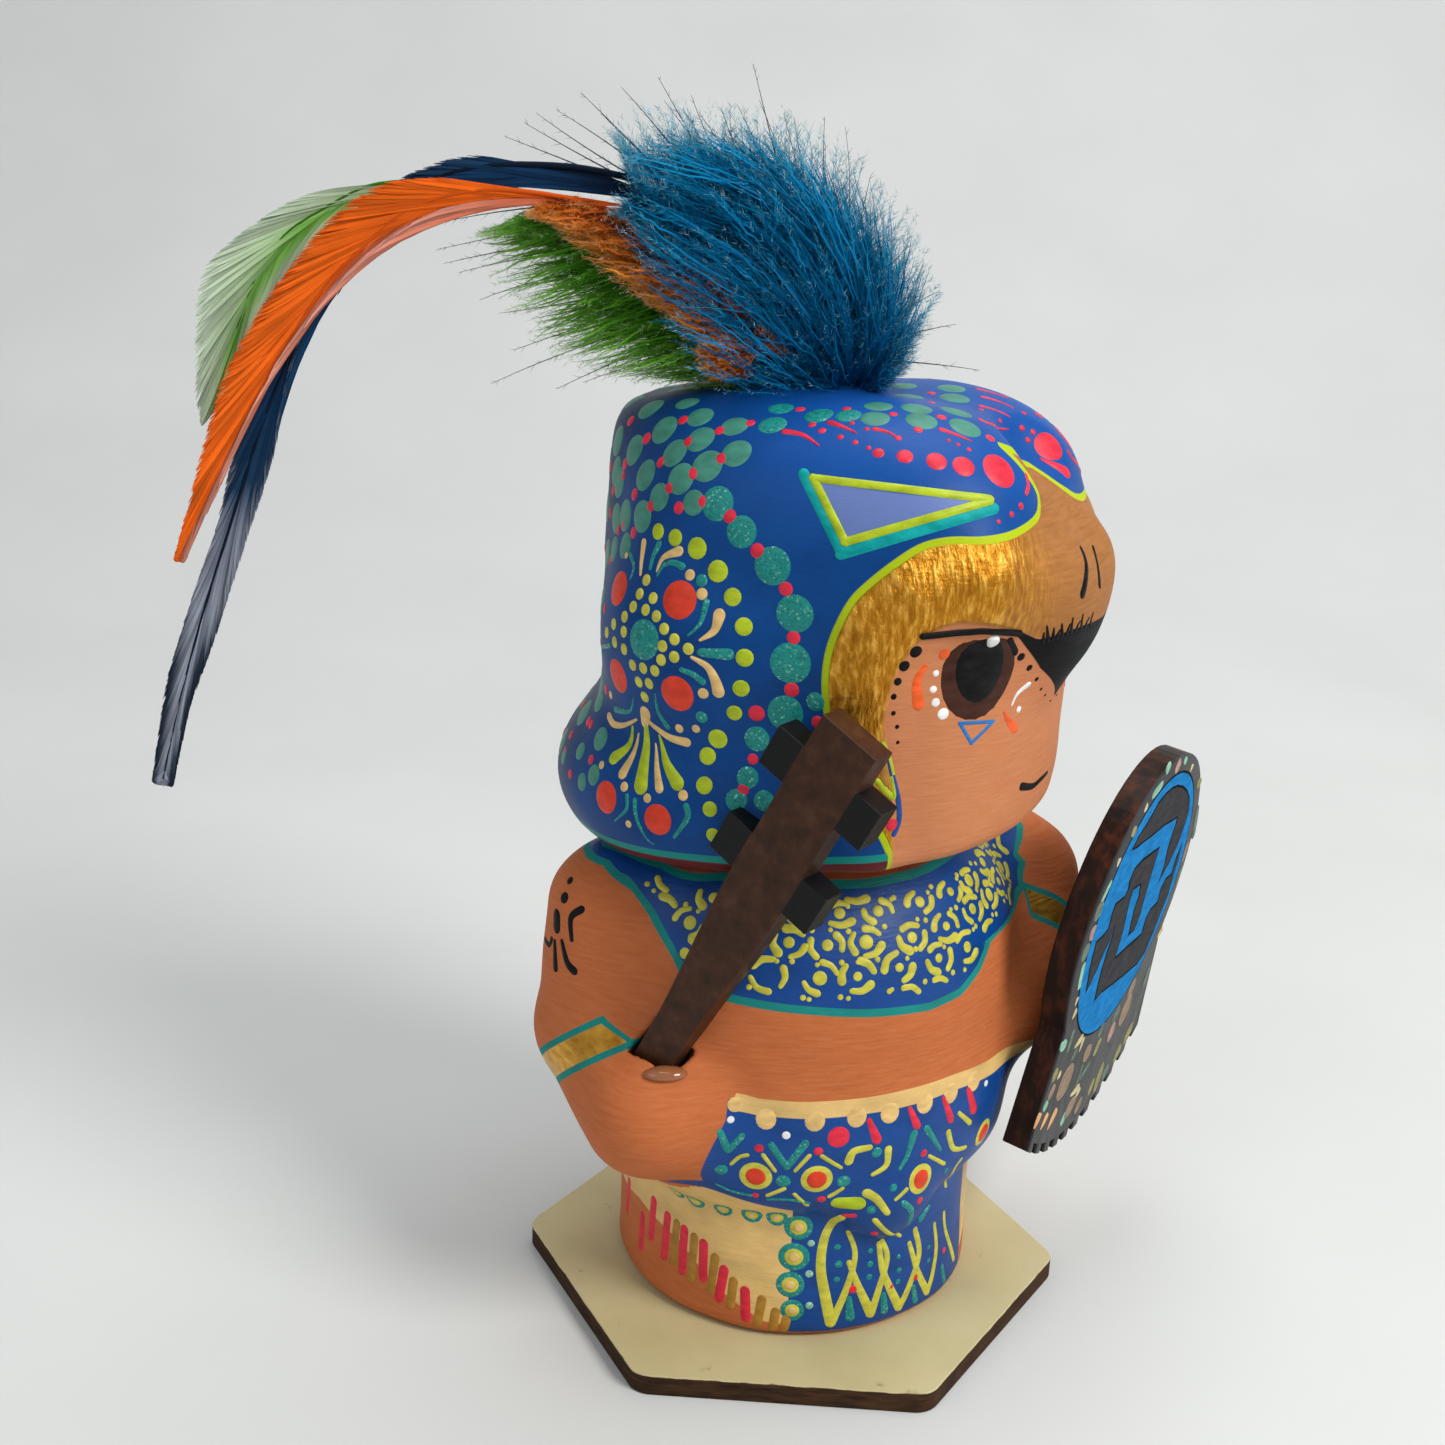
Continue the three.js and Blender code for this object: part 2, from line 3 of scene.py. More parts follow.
import bmesh
import bpy
import numpy as np
from mathutils import Matrix, Vector
from mathutils.geometry import tessellate_polygon


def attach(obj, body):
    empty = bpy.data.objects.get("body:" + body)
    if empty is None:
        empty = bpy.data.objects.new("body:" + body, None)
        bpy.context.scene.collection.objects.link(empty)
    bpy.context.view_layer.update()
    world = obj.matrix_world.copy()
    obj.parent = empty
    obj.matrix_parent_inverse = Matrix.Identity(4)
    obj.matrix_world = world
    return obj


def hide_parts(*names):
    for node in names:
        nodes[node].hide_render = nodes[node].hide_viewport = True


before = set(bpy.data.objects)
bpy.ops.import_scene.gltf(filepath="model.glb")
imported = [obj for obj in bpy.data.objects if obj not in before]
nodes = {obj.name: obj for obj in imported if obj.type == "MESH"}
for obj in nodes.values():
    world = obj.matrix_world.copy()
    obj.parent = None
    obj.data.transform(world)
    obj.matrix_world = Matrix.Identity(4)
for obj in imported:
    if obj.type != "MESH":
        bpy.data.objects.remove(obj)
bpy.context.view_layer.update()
MM = 0.001

# The photograph's camera, in millimetres
IMAGE_SIDE = 1445
FOCAL_PX = 1897.6
CAMERA_AT = np.array([-121.92, -210.86, 163.99])
CAMERA_YAW = -27.056
CAMERA_PITCH = 18.357
CAMERA_ROLL = -2.010

# The figure's frame: z is from its foot. The head has a frame of its own, turned to the figure's left.
FIGURE_AT = np.array([0.8, 1.4, 3.3])
HEAD_AXIS = np.array([0.9, -1.1, 0.0])
HEAD_TURN = 38.5
CROWN_Z = 125.2
RIGHT_HAND = (-29.3, -12.3, 33.7)
LEFT_HAND = (26.0, -13.0, 41.4)
CELL = 0.56


def turn_z(degrees):
    a = math.radians(degrees)
    c, s = math.cos(a), math.sin(a)
    return np.array([[c, -s, 0], [s, c, 0], [0, 0, 1]])


HEAD_ROWS = turn_z(HEAD_TURN)


def to_head(p):
    return (p - HEAD_AXIS) @ HEAD_ROWS


def from_head(p):
    return p @ HEAD_ROWS.T + HEAD_AXIS


def camera_rows():
    yaw, pitch, roll = (math.radians(v) for v in (CAMERA_YAW, CAMERA_PITCH, CAMERA_ROLL))
    right = np.array([math.cos(yaw), math.sin(yaw), 0])
    ahead = np.array([-math.sin(yaw) * math.cos(pitch), math.cos(yaw) * math.cos(pitch), -math.sin(pitch)])
    down = np.cross(ahead, right)
    return np.array([
        right * math.cos(roll) + down * math.sin(roll),
        -right * math.sin(roll) + down * math.cos(roll),
        ahead,
    ])


VIEW = camera_rows()


# Forms: distances to simple solids, melted into each other over a width k
def melt(a, b, k):
    h = np.clip(0.5 + 0.5 * (b - a) / k, 0, 1)
    return b + (a - b) * h - k * h * (1 - h)


def carve(a, b, k):
    return -melt(-a, b, k)


def ellipsoid(p, centre, radii):
    q = p - np.array(centre, p.dtype)
    r = np.array(radii, p.dtype)
    k0 = np.linalg.norm(q / r, axis=-1)
    k1 = np.linalg.norm(q / (r * r), axis=-1)
    return k0 * (k0 - 1) / np.maximum(k1, 1e-6)


def superellipsoid(p, centre, radii, m, n):
    q = np.minimum(np.abs(p - np.array(centre, p.dtype)) / np.array(radii, p.dtype), 8) + 1e-6
    plan = (q[..., 0] ** m + q[..., 1] ** m) ** (1 / m)
    f = (plan ** n + q[..., 2] ** n) ** (1 / n)
    across = f ** (1 - n) * plan ** (n - m)
    gx = across * q[..., 0] ** (m - 1) / radii[0]
    gy = across * q[..., 1] ** (m - 1) / radii[1]
    gz = f ** (1 - n) * q[..., 2] ** (n - 1) / radii[2]
    return (f - 1) / np.maximum(np.sqrt(gx * gx + gy * gy + gz * gz), 1e-6)


def rod(p, a, b, ra, rb):
    a = np.array(a, p.dtype)
    ab = np.array(b, p.dtype) - a
    t = np.clip(((p - a) @ ab) / (ab @ ab), 0, 1)
    return np.linalg.norm(p - a - t[..., None] * ab, axis=-1) - (ra + (rb - ra) * t)


def hand_made(p):
    """The slight unevenness of a form smoothed by hand."""
    x, y, z = p[..., 0], p[..., 1], p[..., 2]
    slow = np.sin(0.19 * x + 1.3) * np.sin(0.23 * y + 0.4) * np.sin(0.17 * z + 2.1)
    quick = np.sin(0.47 * x + 0.2 * z) * np.sin(0.41 * z - 0.3 * y + 1.7)
    return 0.22 * slow + 0.07 * quick


# Ends and radii of the arms' two rods
RIGHT_UPPER_ARM = ((-27, 4, 55.7), (-28.5, 4.5, 38.7), 9.5, 9.5)
RIGHT_FOREARM = ((-28.5, 4.5, 37.7), RIGHT_HAND, 9.5, 8.9)
LEFT_UPPER_ARM = ((27, 3, 58.2), (33.5, -2, 52.7), 9.3, 9)
LEFT_FOREARM = ((33.5, -2, 52.7), LEFT_HAND, 9, 8.8)
# Centres and radii of the body's round forms, with the shaping powers of the hips
HIPS = ((0, 0, 28.2), (30.3, 28.3, 15), 2, 2.6)
LAP = ((0, -24.5, 20.2), (5.5, 4, 5.5))
CHEST = ((0, 0, 46.7), (31, 28, 27))
SKIRT_R = 25.4
SKIRT_TAPER = 0.018
SKIRT_TOP = 22.7
SOCKET_HALF = np.array([3.1, 5.4, 2.45])
SOCKET_ROUND = 0.25


def right_arm(p):
    return melt(rod(p, *RIGHT_UPPER_ARM), rod(p, *RIGHT_FOREARM), 2)


def left_arm(p):
    return melt(rod(p, *LEFT_UPPER_ARM), rod(p, *LEFT_FOREARM), 2)


def club_socket(p):
    """The hole that the club stands in, a little wider than the club."""
    q = (p - CLUB_MOUTH) @ CLUB_AXES
    over = np.abs(q - np.array([0, -3, 0])) - SOCKET_HALF
    outside = np.linalg.norm(np.maximum(over, 0), axis=-1)
    return outside + np.minimum(over.max(-1), 0) - SOCKET_ROUND


def body(p):
    z = p[..., 2]
    around = np.hypot(p[..., 0], p[..., 1]) - (SKIRT_R - SKIRT_TAPER * z)
    skirt = np.maximum(around, z - SKIRT_TOP)
    tunic = melt(superellipsoid(p, *HIPS), ellipsoid(p, *LAP), 5)
    d = melt(skirt, tunic, 0.9)
    d = melt(d, ellipsoid(p, *CHEST), 8)
    d = melt(d, right_arm(p), 7)
    d = melt(d, left_arm(p), 5)
    d = d + hand_made(p)
    d = carve(d, club_socket(p), 0.5)
    return carve(d, z, 1.6)


# Centres, radii and shaping powers of the head's two boxy forms, in its own frame
SKULL = ((0, -1.4, 94), (28.5, 29.1, 31), 2.5, 4)
CROWN = ((0, 7.3, 107.8), (19, 22.9, 16), 2.5, 6)
# The flare, the cheek's boss, the brow and the beak: centre, radii, and the width they melt over
HEAD_LUMPS = (
    ((0, 5.2, 73.4), (31.5, 31.5, 16.8), 8),
    ((11.6, 6.5, 95), (19.2, 19.2, 19.2), 3),
    ((10, -11.5, 112.7), (14, 17, 12), 4),
    ((0, -20.5, 101.2), (16, 15.5, 14), 4),
)
NOTCH = ((0, -31, 122.2), (7, 9.5, 6))
# Points and radii along the raised edge round the face
BRIM = (
    (7, -27.5, 104.5, 7.5), (16.4, -24, 106.5, 6), (20.8, -18.6, 105, 5), (22.8, -15, 100.5, 4.6),
    (23.3, -13.8, 94.5, 4.3), (23.2, -13.8, 88, 4), (23, -14.2, 82, 3.6), (22.5, -15.2, 72, 3.4),
)


def rim_height(p):
    """Height above the helmet's lower rim, for a point of the head's frame."""
    return p[..., 2] - (68.7 - 0.12 * p[..., 1])


def head(figure_point):
    p = to_head(figure_point).astype(figure_point.dtype)
    p[..., 0] = np.abs(p[..., 0])
    d = melt(superellipsoid(p, *SKULL), superellipsoid(p, *CROWN), 4)
    for centre, radii, blend in HEAD_LUMPS:
        d = melt(d, ellipsoid(p, centre, radii), blend)
    brim = None
    for (x0, y0, z0, r0), (x1, y1, z1, r1) in zip(BRIM, BRIM[1:]):
        piece = rod(p, (x0, y0, z0), (x1, y1, z1), r0, r1)
        brim = piece if brim is None else melt(brim, piece, 2)
    d = melt(d, brim, 3.4)
    d = carve(d, ellipsoid(p, *NOTCH), 3)
    d = d + hand_made(p)
    return carve(d, rim_height(p), 2.4)


# Boards held by the figure: x across the board, y up it and z out of its face
def board_axes(faces, tilt, lean=0):
    f, t = math.radians(faces), math.radians(tilt)
    out = np.array([math.sin(f) * math.cos(t), -math.cos(f) * math.cos(t), math.sin(t)])
    across = np.array([math.cos(f), math.sin(f), 0])
    up = np.cross(out, across)
    return np.array([across, up, out]).T @ turn_z(-lean)


CLUB_AXES = board_axes(-62, 1.7, 27.6)
CLUB_MOUTH = np.array(RIGHT_HAND) + np.array([1, -1.6, 9.1])
GLUE_AT = np.array([-29.5, -17.2, 41.4])
SHIELD_AXES = board_axes(32.8, -8.6)
BOARD_T = 3.9
SHIELD_CENTRE = np.array(LEFT_HAND) + SHIELD_AXES @ np.array([10.6, 14, 8.3 + BOARD_T])


# Surfaces
def slope_of(form, p):
    e = 0.02
    d = form(p)
    slope = np.stack([(form(p + e * axis) - d) / e for axis in np.eye(3)], -1)
    return d, slope


def settle(form, p, most=0.6):
    """Moves points onto the form's surface, at most a set way in each turn."""
    p = p.astype(np.float64)
    for _ in range(3):
        d, slope = slope_of(form, p)
        step = np.clip(d, -most, most) / np.maximum((slope ** 2).sum(-1), 0.2)
        p = p - slope * step[..., None]
    return p


def normals_of(form, p):
    slope = slope_of(form, p)[1]
    return slope / np.maximum(np.linalg.norm(slope, axis=-1, keepdims=True), 1e-9)


def surface_net(form, low, high, cell):
    """Vertices and quads of the form's surface: one vertex a cell, moved onto the surface."""
    low, high = np.array(low, float), np.array(high, float)
    n = (np.ceil((high - low) / cell / 4).astype(int) + 1) * 4
    lines = [(low[i] + cell * np.arange(n[i])).astype(np.float32) for i in range(3)]
    grid = np.stack(np.meshgrid(*lines, indexing="ij"), -1)
    value = form(grid[2::4, 2::4, 2::4])
    for axis in range(3):
        value = np.repeat(value, 4, axis)
    near = np.abs(value) < 5.5 * cell
    value[near] = form(grid[near])
    inside = value < 0
    cells = n - 1
    total = np.zeros((cells.prod(), 3))
    count = np.zeros(cells.prod())
    crossings = []
    for axis in range(3):
        first = [slice(None)] * 3
        second = [slice(None)] * 3
        first[axis], second[axis] = slice(0, -1), slice(1, None)
        found = np.argwhere(inside[tuple(first)] != inside[tuple(second)])
        after = found.copy()
        after[:, axis] += 1
        va, vb = value[tuple(found.T)], value[tuple(after.T)]
        t = (va / (va - vb))[:, None]
        points = low + cell * (found + (after - found) * t)
        b, c = (axis + 1) % 3, (axis + 2) % 3
        around = []
        for ob, oc in ((-1, -1), (0, -1), (0, 0), (-1, 0)):
            cell_at = found.copy()
            cell_at[:, b] += ob
            cell_at[:, c] += oc
            around.append(np.ravel_multi_index(tuple(cell_at.T), tuple(cells)))
        for flat in around:
            count += np.bincount(flat, minlength=count.size)
            for k in range(3):
                total[:, k] += np.bincount(flat, points[:, k], count.size)
        quad = np.stack(around, -1)
        turned = ~inside[tuple(found.T)]
        quad[turned] = quad[turned][:, ::-1]
        crossings.append(quad)
    used = count > 0
    number = np.full(count.size, -1)
    number[used] = np.arange(used.sum())
    points = total[used] / count[used][:, None]
    return settle(form, points, cell), number[np.concatenate(crossings)]

def adopt(name, mesh, materials, node=None):
    """Makes a mesh a piece that rides on the object's one body."""
    for material in materials:
        mesh.materials.append(material)
    piece = bpy.data.objects.new(name, mesh)
    bpy.context.scene.collection.objects.link(piece)
    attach(piece, "root")
    if node:
        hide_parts(node)
    return piece


def new_piece(name, points, faces, material, node=None, smooth=True):
    """A piece from points in millimetres, in the figure's frame."""
    mesh = bpy.data.meshes.new(name)
    place = (np.asarray(points) + FIGURE_AT) * MM
    mesh.from_pydata(place.tolist(), [], [list(map(int, f)) for f in faces])
    mesh.validate()
    mesh.polygons.foreach_set("use_smooth", [smooth] * len(mesh.polygons))
    return adopt(name, mesh, [material], node)


def put_values(piece, name, values):
    layer = piece.data.attributes.new(name, "FLOAT", "POINT")
    layer.data.foreach_set("value", np.asarray(values, np.float32))


# Regions of paint: signed distances, in millimetres, above zero inside
def inside_outline(u, v, outline):
    outline = np.array(outline, float)
    p = np.stack([u, v], -1)
    nearest = np.full(len(p), 1e9)
    crossings = np.zeros(len(p), int)
    for a, b in zip(outline, np.roll(outline, -1, 0)):
        ab = b - a
        t = np.clip(((p - a) @ ab) / max(ab @ ab, 1e-9), 0, 1)
        nearest = np.minimum(nearest, np.linalg.norm(p - a - t[:, None] * ab, axis=1))
        spans = (a[1] > p[:, 1]) != (b[1] > p[:, 1])
        rise = b[1] - a[1]
        at = a[0] + (p[:, 1] - a[1]) * ab[0] / (rise if abs(rise) > 1e-9 else 1e-9)
        crossings += spans & (p[:, 0] < at)
    return np.where(crossings % 2 == 1, nearest, -nearest)


def rounded(points, steps=6):
    """A smooth curve from the first point to the last, through the others."""
    p = np.array(points, float)
    last = len(p) - 1
    out = []
    for i in range(last):
        p0, p1, p2, p3 = p[max(i - 1, 0)], p[i], p[i + 1], p[min(i + 2, last)]
        for t in np.arange(steps) / steps:
            a = 2 * p1
            b = p2 - p0
            c = 2 * p0 - 5 * p1 + 4 * p2 - p3
            d = 3 * p1 - p0 - 3 * p2 + p3
            out.append(0.5 * (a + b * t + c * t * t + d * t ** 3))
    return np.array(out + [p[-1]])


# Materials
SOCKETS = {
    "colour": "Base Color", "rough": "Roughness", "metal": "Metallic", "gloss": "Specular IOR Level",
    "normal": "Normal",
}


class Look:
    """A new material, and a short way to write its nodes."""

    def __init__(self, name):
        self.material = bpy.data.materials.new(name)
        self.material.use_nodes = True
        self.tree = self.material.node_tree
        self.shader = self.tree.nodes["Principled BSDF"]

    def put(self, socket, value):
        """Links a socket to another one, or gives it a number or a colour."""
        if isinstance(value, bpy.types.NodeSocket):
            self.tree.links.new(value, socket)
        elif socket.type == "RGBA":
            socket.default_value = (*value, 1.0)
        else:
            socket.default_value = value

    def add(self, kind, inputs=(), **settings):
        node = self.tree.nodes.new("ShaderNode" + kind)
        for key, value in settings.items():
            setattr(node, key, value)
        for key, value in dict(inputs).items():
            self.put(node.inputs[key], value)
        return node

    def surface(self, **values):
        for key, value in values.items():
            self.put(self.shader.inputs[SOCKETS[key]], value)
        return self.material

    def value(self, name):
        return self.add("Attribute", attribute_name=name).outputs["Fac"]

    def calc(self, operation, *values):
        node = self.add("Math", operation=operation)
        for socket, value in zip(node.inputs, values):
            self.put(socket, value)
        return node.outputs[0]

    def times(self, a, b):
        return self.calc("MULTIPLY", a, b)

    def plus(self, a, b):
        return self.calc("ADD", a, b)

    def opposite(self, a):
        return self.calc("SUBTRACT", 1.0, a)

    def step(self, value, edge=0.0, soft=0.06):
        """0 below the edge and 1 above it, with a narrow slope between."""
        inputs = {"Value": value, "From Min": edge - soft, "From Max": edge + soft}
        return self.add("MapRange", inputs).outputs["Result"]

    def mix(self, share, a, b, kind="RGBA", **settings):
        inputs = {"Factor": share, "A": a, "B": b}
        return self.add("Mix", inputs, data_type=kind, **settings).outputs["Result"]

    def blend(self, share, a, b):
        return self.mix(share, a, b, "FLOAT")

    def place(self, stretch=(1, 1, 1)):
        where = self.add("TexCoord").outputs["Object"]
        return self.add("Mapping", {"Vector": where, "Scale": stretch}).outputs["Vector"]

    def noise(self, scale, stretch=(1, 1, 1), detail=4.0, rough=0.55):
        inputs = {"Vector": self.place(stretch), "Scale": scale, "Detail": detail, "Roughness": rough}
        return self.add("TexNoise", inputs).outputs["Fac"]

    def ramp(self, value, *stops):
        """A colour for each value; a stop is its place and its red, green and blue."""
        node = self.add("ValToRGB", {"Fac": value})
        elements = node.color_ramp.elements
        while len(elements) < len(stops):
            elements.new(0.5)
        for element, (at, *tone) in zip(elements, stops):
            element.position = at
            element.color = (*tone, 1.0)
        return node.outputs["Color"]

    def bump(self, height, distance, strength):
        inputs = {"Height": height, "Distance": distance, "Strength": strength}
        return self.add("Bump", inputs).outputs["Normal"]

    def specks(self, scale, edge, share, rough=0.75, soft=0.02):
        """How much a scatter of small specks covers."""
        return self.times(self.step(self.noise(scale, (1, 1, 1), 6, rough), edge, soft), share)


# Linear colours of the paints
TONES = {
    "blue": (0.001, 0.052, 0.245),
    "teal": (0.004, 0.225, 0.20),
    "sea": (0.045, 0.225, 0.165),
    "lime": (0.40, 0.50, 0.006),
    "yellow": (0.56, 0.52, 0.05),
    "cream": (0.72, 0.47, 0.17),
    "peach": (0.74, 0.42, 0.19),
    "red": (0.68, 0.014, 0.042),
    "scarlet": (0.68, 0.035, 0.006),
    "orange": (0.80, 0.10, 0.008),
    "black": (0.002, 0.002, 0.003),
    "white": (0.82, 0.82, 0.81),
    "brown": (0.050, 0.015, 0.008),
    "sky": (0.01, 0.16, 0.46),
    "maroon": (0.11, 0.010, 0.014),
    "lavender": (0.13, 0.19, 0.44),
    "mint": (0.28, 0.52, 0.38),
    "pink": (0.45, 0.28, 0.24),
    "ochre": (0.38, 0.18, 0.018),
    "aqua": (0.0, 0.33, 0.33),
    "sage": (0.15, 0.20, 0.16),
    "ivory": (0.60, 0.53, 0.30),
    "olive": (0.30, 0.28, 0.13),
    "beige": (0.30, 0.22, 0.155),
    "art_blue": (0.008, 0.195, 0.50),
    "art_grey": (0.040, 0.040, 0.044),
}
GLINT = (0.16, 0.46, 0.38)
# Bare terracotta under the helmet's rim, darkened as painted shade
UNDER_HELMET_SHADE = (0.30, 0.07, 0.025)
CLAY_BUMP = (0.00009, 0.7)


def scaled(tone, by, more=0.0):
    return tuple(min(c * by + more, 1) for c in tone)


def paint(name, tone, rough=0.42, glitter=False, gloss=0.3):
    """Brushed acrylic paint, a little uneven, or paint with glitter in it."""
    n = Look(name)
    streaks = n.noise(420, (1, 1, 2.2), 3)
    share = n.ramp(streaks, (0.3, 0, 0, 0), (0.7, 1, 1, 1))
    colour = n.mix(share, scaled(tone, 0.78), scaled(tone, 1.15, 0.008))
    height = n.noise(900, (1, 1, 1), 3)
    if glitter:
        flakes = n.add("TexVoronoi", {"Vector": n.place(), "Scale": 4200}).outputs["Color"]
        chance = n.add("SeparateColor", {"Color": flakes}).outputs
        bright = n.step(chance[0], 0.93, 0.02)
        uneven = n.mix(chance[1], scaled(tone, 0.6), scaled(tone, 1.35))
        colour = n.mix(bright, n.mix(0.6, colour, uneven), GLINT)
        height = n.plus(height, chance[2])
        n.surface(rough=n.blend(chance[1], 0.25, 0.55), metal=n.times(bright, 0.8))
    else:
        n.surface(rough=n.blend(streaks, rough - 0.08, rough + 0.1))
    return n.surface(colour=colour, gloss=gloss, normal=n.bump(height, 0.00004, 0.5))


def body_material():
    """Terracotta wiped with a brush, with fine level streaks, dust and darker patches, under its paints."""
    n = Look("painted_body")
    streaks = n.noise(260, (1, 1, 9), 5, 0.6)
    patches = n.noise(38, (1, 1, 1.4), 3)
    colour = n.ramp(streaks, (0.25, 0.47, 0.118, 0.030), (0.5, 0.54, 0.146, 0.042), (0.8, 0.60, 0.188, 0.066))
    colour = n.mix(n.times(patches, 0.4), colour, (0.38, 0.088, 0.022))
    colour = n.mix(n.specks(520, 0.74, 0.3), colour, (0.60, 0.30, 0.17))
    uneven = n.ramp(n.noise(160, (1, 1, 2), 4), (0.3, 0.82, 0.82, 0.82), (0.7, 1.12, 1.12, 1.12))

    def cover(now, mask, tone):
        return n.mix(mask, now, n.mix(1.0, tone, uneven, blend_type="MULTIPLY"))

    painted = 0.0
    for region, tone, soft in (("cream", "cream", 0.12), ("panel", "blue", 0.06), ("garment", "blue", 0.06),
                               ("waist", "cream", 0.06)):
        mask = n.step(n.value(region), 0, soft)
        colour = cover(colour, mask, TONES[tone])
        painted = n.calc("MAXIMUM", painted, mask)
    bib = n.value("bib")
    colour = cover(colour, n.step(bib, -0.75), TONES["teal"])
    inner = n.step(bib, 0.35)
    colour = cover(colour, inner, TONES["blue"])
    neck = n.value("neck")
    colour = cover(colour, n.times(n.step(neck), inner), TONES["teal"])
    # Painted shade: above the neckline, the bare clay under the helmet's rim is darkened
    colour = cover(colour, n.times(n.step(neck, 0.9), inner), UNDER_HELMET_SHADE)
    band = n.value("band")
    colour = cover(colour, n.step(band), TONES["teal"])
    gold = n.step(band, 0.95)
    brushed = n.noise(300, (1, 1, 3), 3)
    colour = n.mix(gold, colour, n.ramp(brushed, (0.3, 0.50, 0.20, 0.015), (0.7, 0.90, 0.50, 0.07)))
    painted = n.calc("MAXIMUM", painted, inner)
    rough = n.blend(painted, n.blend(streaks, 0.62, 0.82), 0.42)
    height = n.plus(n.times(streaks, 1.6), n.times(n.noise(1500), 0.5))
    height = n.plus(height, n.times(painted, 0.6))
    return n.surface(colour=colour, rough=n.blend(gold, rough, 0.33), metal=n.times(gold, 0.85), gloss=0.28,
                     normal=n.bump(height, *CLAY_BUMP))


def head_material():
    """The face's clay, the helmet's blue with a painted highlight over its top front and painted shade round its
    back, the gold over the eyes, and the lines between them.
    """
    n = Look("painted_head")
    streaks = n.noise(260, (1, 1, 9), 5, 0.6)
    patches = n.noise(45, (1, 1, 1.5), 3)
    skin = n.ramp(streaks, (0.25, 0.51, 0.185, 0.075), (0.55, 0.565, 0.215, 0.095), (0.85, 0.62, 0.26, 0.125))
    skin = n.mix(n.times(patches, 0.35), skin, (0.44, 0.145, 0.055))
    cloudy = n.noise(70, (1, 1, 1.2), 5, 0.6)
    blue = n.ramp(cloudy, (0.3, 0.0005, 0.034, 0.15), (0.55, 0.001, 0.052, 0.22), (0.8, 0.002, 0.070, 0.29))
    # Painted highlight: the top of the helmet's front is mixed towards a lighter blue
    blue = n.mix(n.times(n.value("front"), 0.6), blue, (0.008, 0.085, 0.38))
    # Painted shade: the blue darkens round the back of the helmet
    blue = n.mix(n.value("back"), blue, (0.002, 0.018, 0.068))
    blue = n.mix(n.specks(700, 0.75, 0.18), blue, (0.12, 0.22, 0.36))
    ridges = n.noise(420, (4.5, 1.0, 1.2), 4, 0.6)
    broad = n.noise(90, (1.0, 1.0, 1.6), 3)
    gold = n.ramp(ridges, (0.3, 0.30, 0.105, 0.006), (0.5, 0.55, 0.23, 0.016), (0.72, 1.0, 0.56, 0.10))
    gold = n.mix(n.times(broad, 0.35), gold, (0.36, 0.14, 0.008))
    beak = n.value("beak")
    gold = n.mix(beak, gold, n.ramp(streaks, (0.3, 0.30, 0.115, 0.030), (0.7, 0.40, 0.17, 0.050)))
    opening = n.value("opening")
    outside = n.times(opening, -1.0)
    face = n.step(n.value("face"), 0, 0.25)
    inside = n.step(opening, 0.45)
    colour = n.mix(inside, TONES["lime"], gold)
    colour = n.mix(n.step(outside, 0.4), colour, blue)
    colour = n.mix(face, colour, skin)
    colour = n.mix(n.step(n.value("tip")), colour, TONES["black"])
    colour = n.mix(n.step(n.value("lavender")), colour, TONES["lavender"])
    rim = n.value("rim")
    helmet = n.step(outside, 0.3)
    for tone, height in (("teal", 3.0), ("maroon", 2.0)):
        colour = n.mix(n.times(helmet, n.opposite(n.step(rim, height))), colour, TONES[tone])
    in_gold = n.calc("MAXIMUM", n.calc("SUBTRACT", inside, face), 0.0)
    shiny = n.times(in_gold, n.opposite(n.times(beak, 0.85)))
    rough = n.blend(helmet, n.blend(streaks, 0.55, 0.75), n.blend(cloudy, 0.36, 0.50))
    height = n.plus(n.times(streaks, n.calc("SUBTRACT", 1.5, helmet)), n.times(n.noise(1500), 0.4))
    height = n.plus(height, n.times(n.times(ridges, shiny), 6.0))
    return n.surface(colour=colour, rough=n.blend(shiny, rough, 0.34), metal=n.times(shiny, 0.7), gloss=0.14,
                     normal=n.bump(height, *CLAY_BUMP))


def base_material():
    """Cream paint on top of the board, and its charred edge."""
    n = Look("base_board_paint")
    cream = n.ramp(n.noise(45, (1, 1, 1), 5), (0.3, 0.50, 0.425, 0.225), (0.55, 0.575, 0.50, 0.28),
                   (0.8, 0.62, 0.555, 0.335))
    cream = n.mix(n.specks(210, 0.73, 0.5, 0.7, 0.015), cream, (0.25, 0.2, 0.1))
    char = n.ramp(n.noise(240, (1, 1, 6), 5), (0.3, 0.016, 0.007, 0.003), (0.7, 0.07, 0.031, 0.012))
    split = n.add("SeparateXYZ", {"Vector": n.add("TexCoord").outputs["Object"]})
    wobble = n.times(n.noise(300, (1, 1, 1), 3), 0.0004)
    top = n.step(n.plus(split.outputs["Z"], wobble), 0.00308, 0.00005)
    return n.surface(colour=n.mix(top, char, cream), rough=n.blend(top, 0.8, 0.55), gloss=0.18,
                     normal=n.bump(n.noise(900, (1, 1, 3), 5), 0.00006, 0.6))


def wood(name, dark, mid, light, shine, stretch):
    """Stained or charred board, and its colour."""
    n = Look(name)
    grain = n.noise(420, stretch, 6, 0.65)
    colour = n.ramp(grain, (0.3, *dark), (0.5, *mid), (0.75, *light))
    n.surface(rough=n.blend(grain, shine - 0.1, shine + 0.15), normal=n.bump(grain, 0.00012, 0.6))
    return n, colour


def club_material():
    n, colour = wood("club_stain", (0.026, 0.009, 0.004), (0.050, 0.017, 0.007), (0.085, 0.034, 0.016), 0.42,
                     (1, 1, 1))
    colour = n.mix(n.specks(900, 0.72, 0.45), colour, (0.24, 0.15, 0.09))
    teeth = n.step(n.calc("ABSOLUTE", n.value("board_x")), 4.25, 0.08)
    return n.surface(colour=n.mix(teeth, colour, (0.004, 0.004, 0.0045)), gloss=0.2)


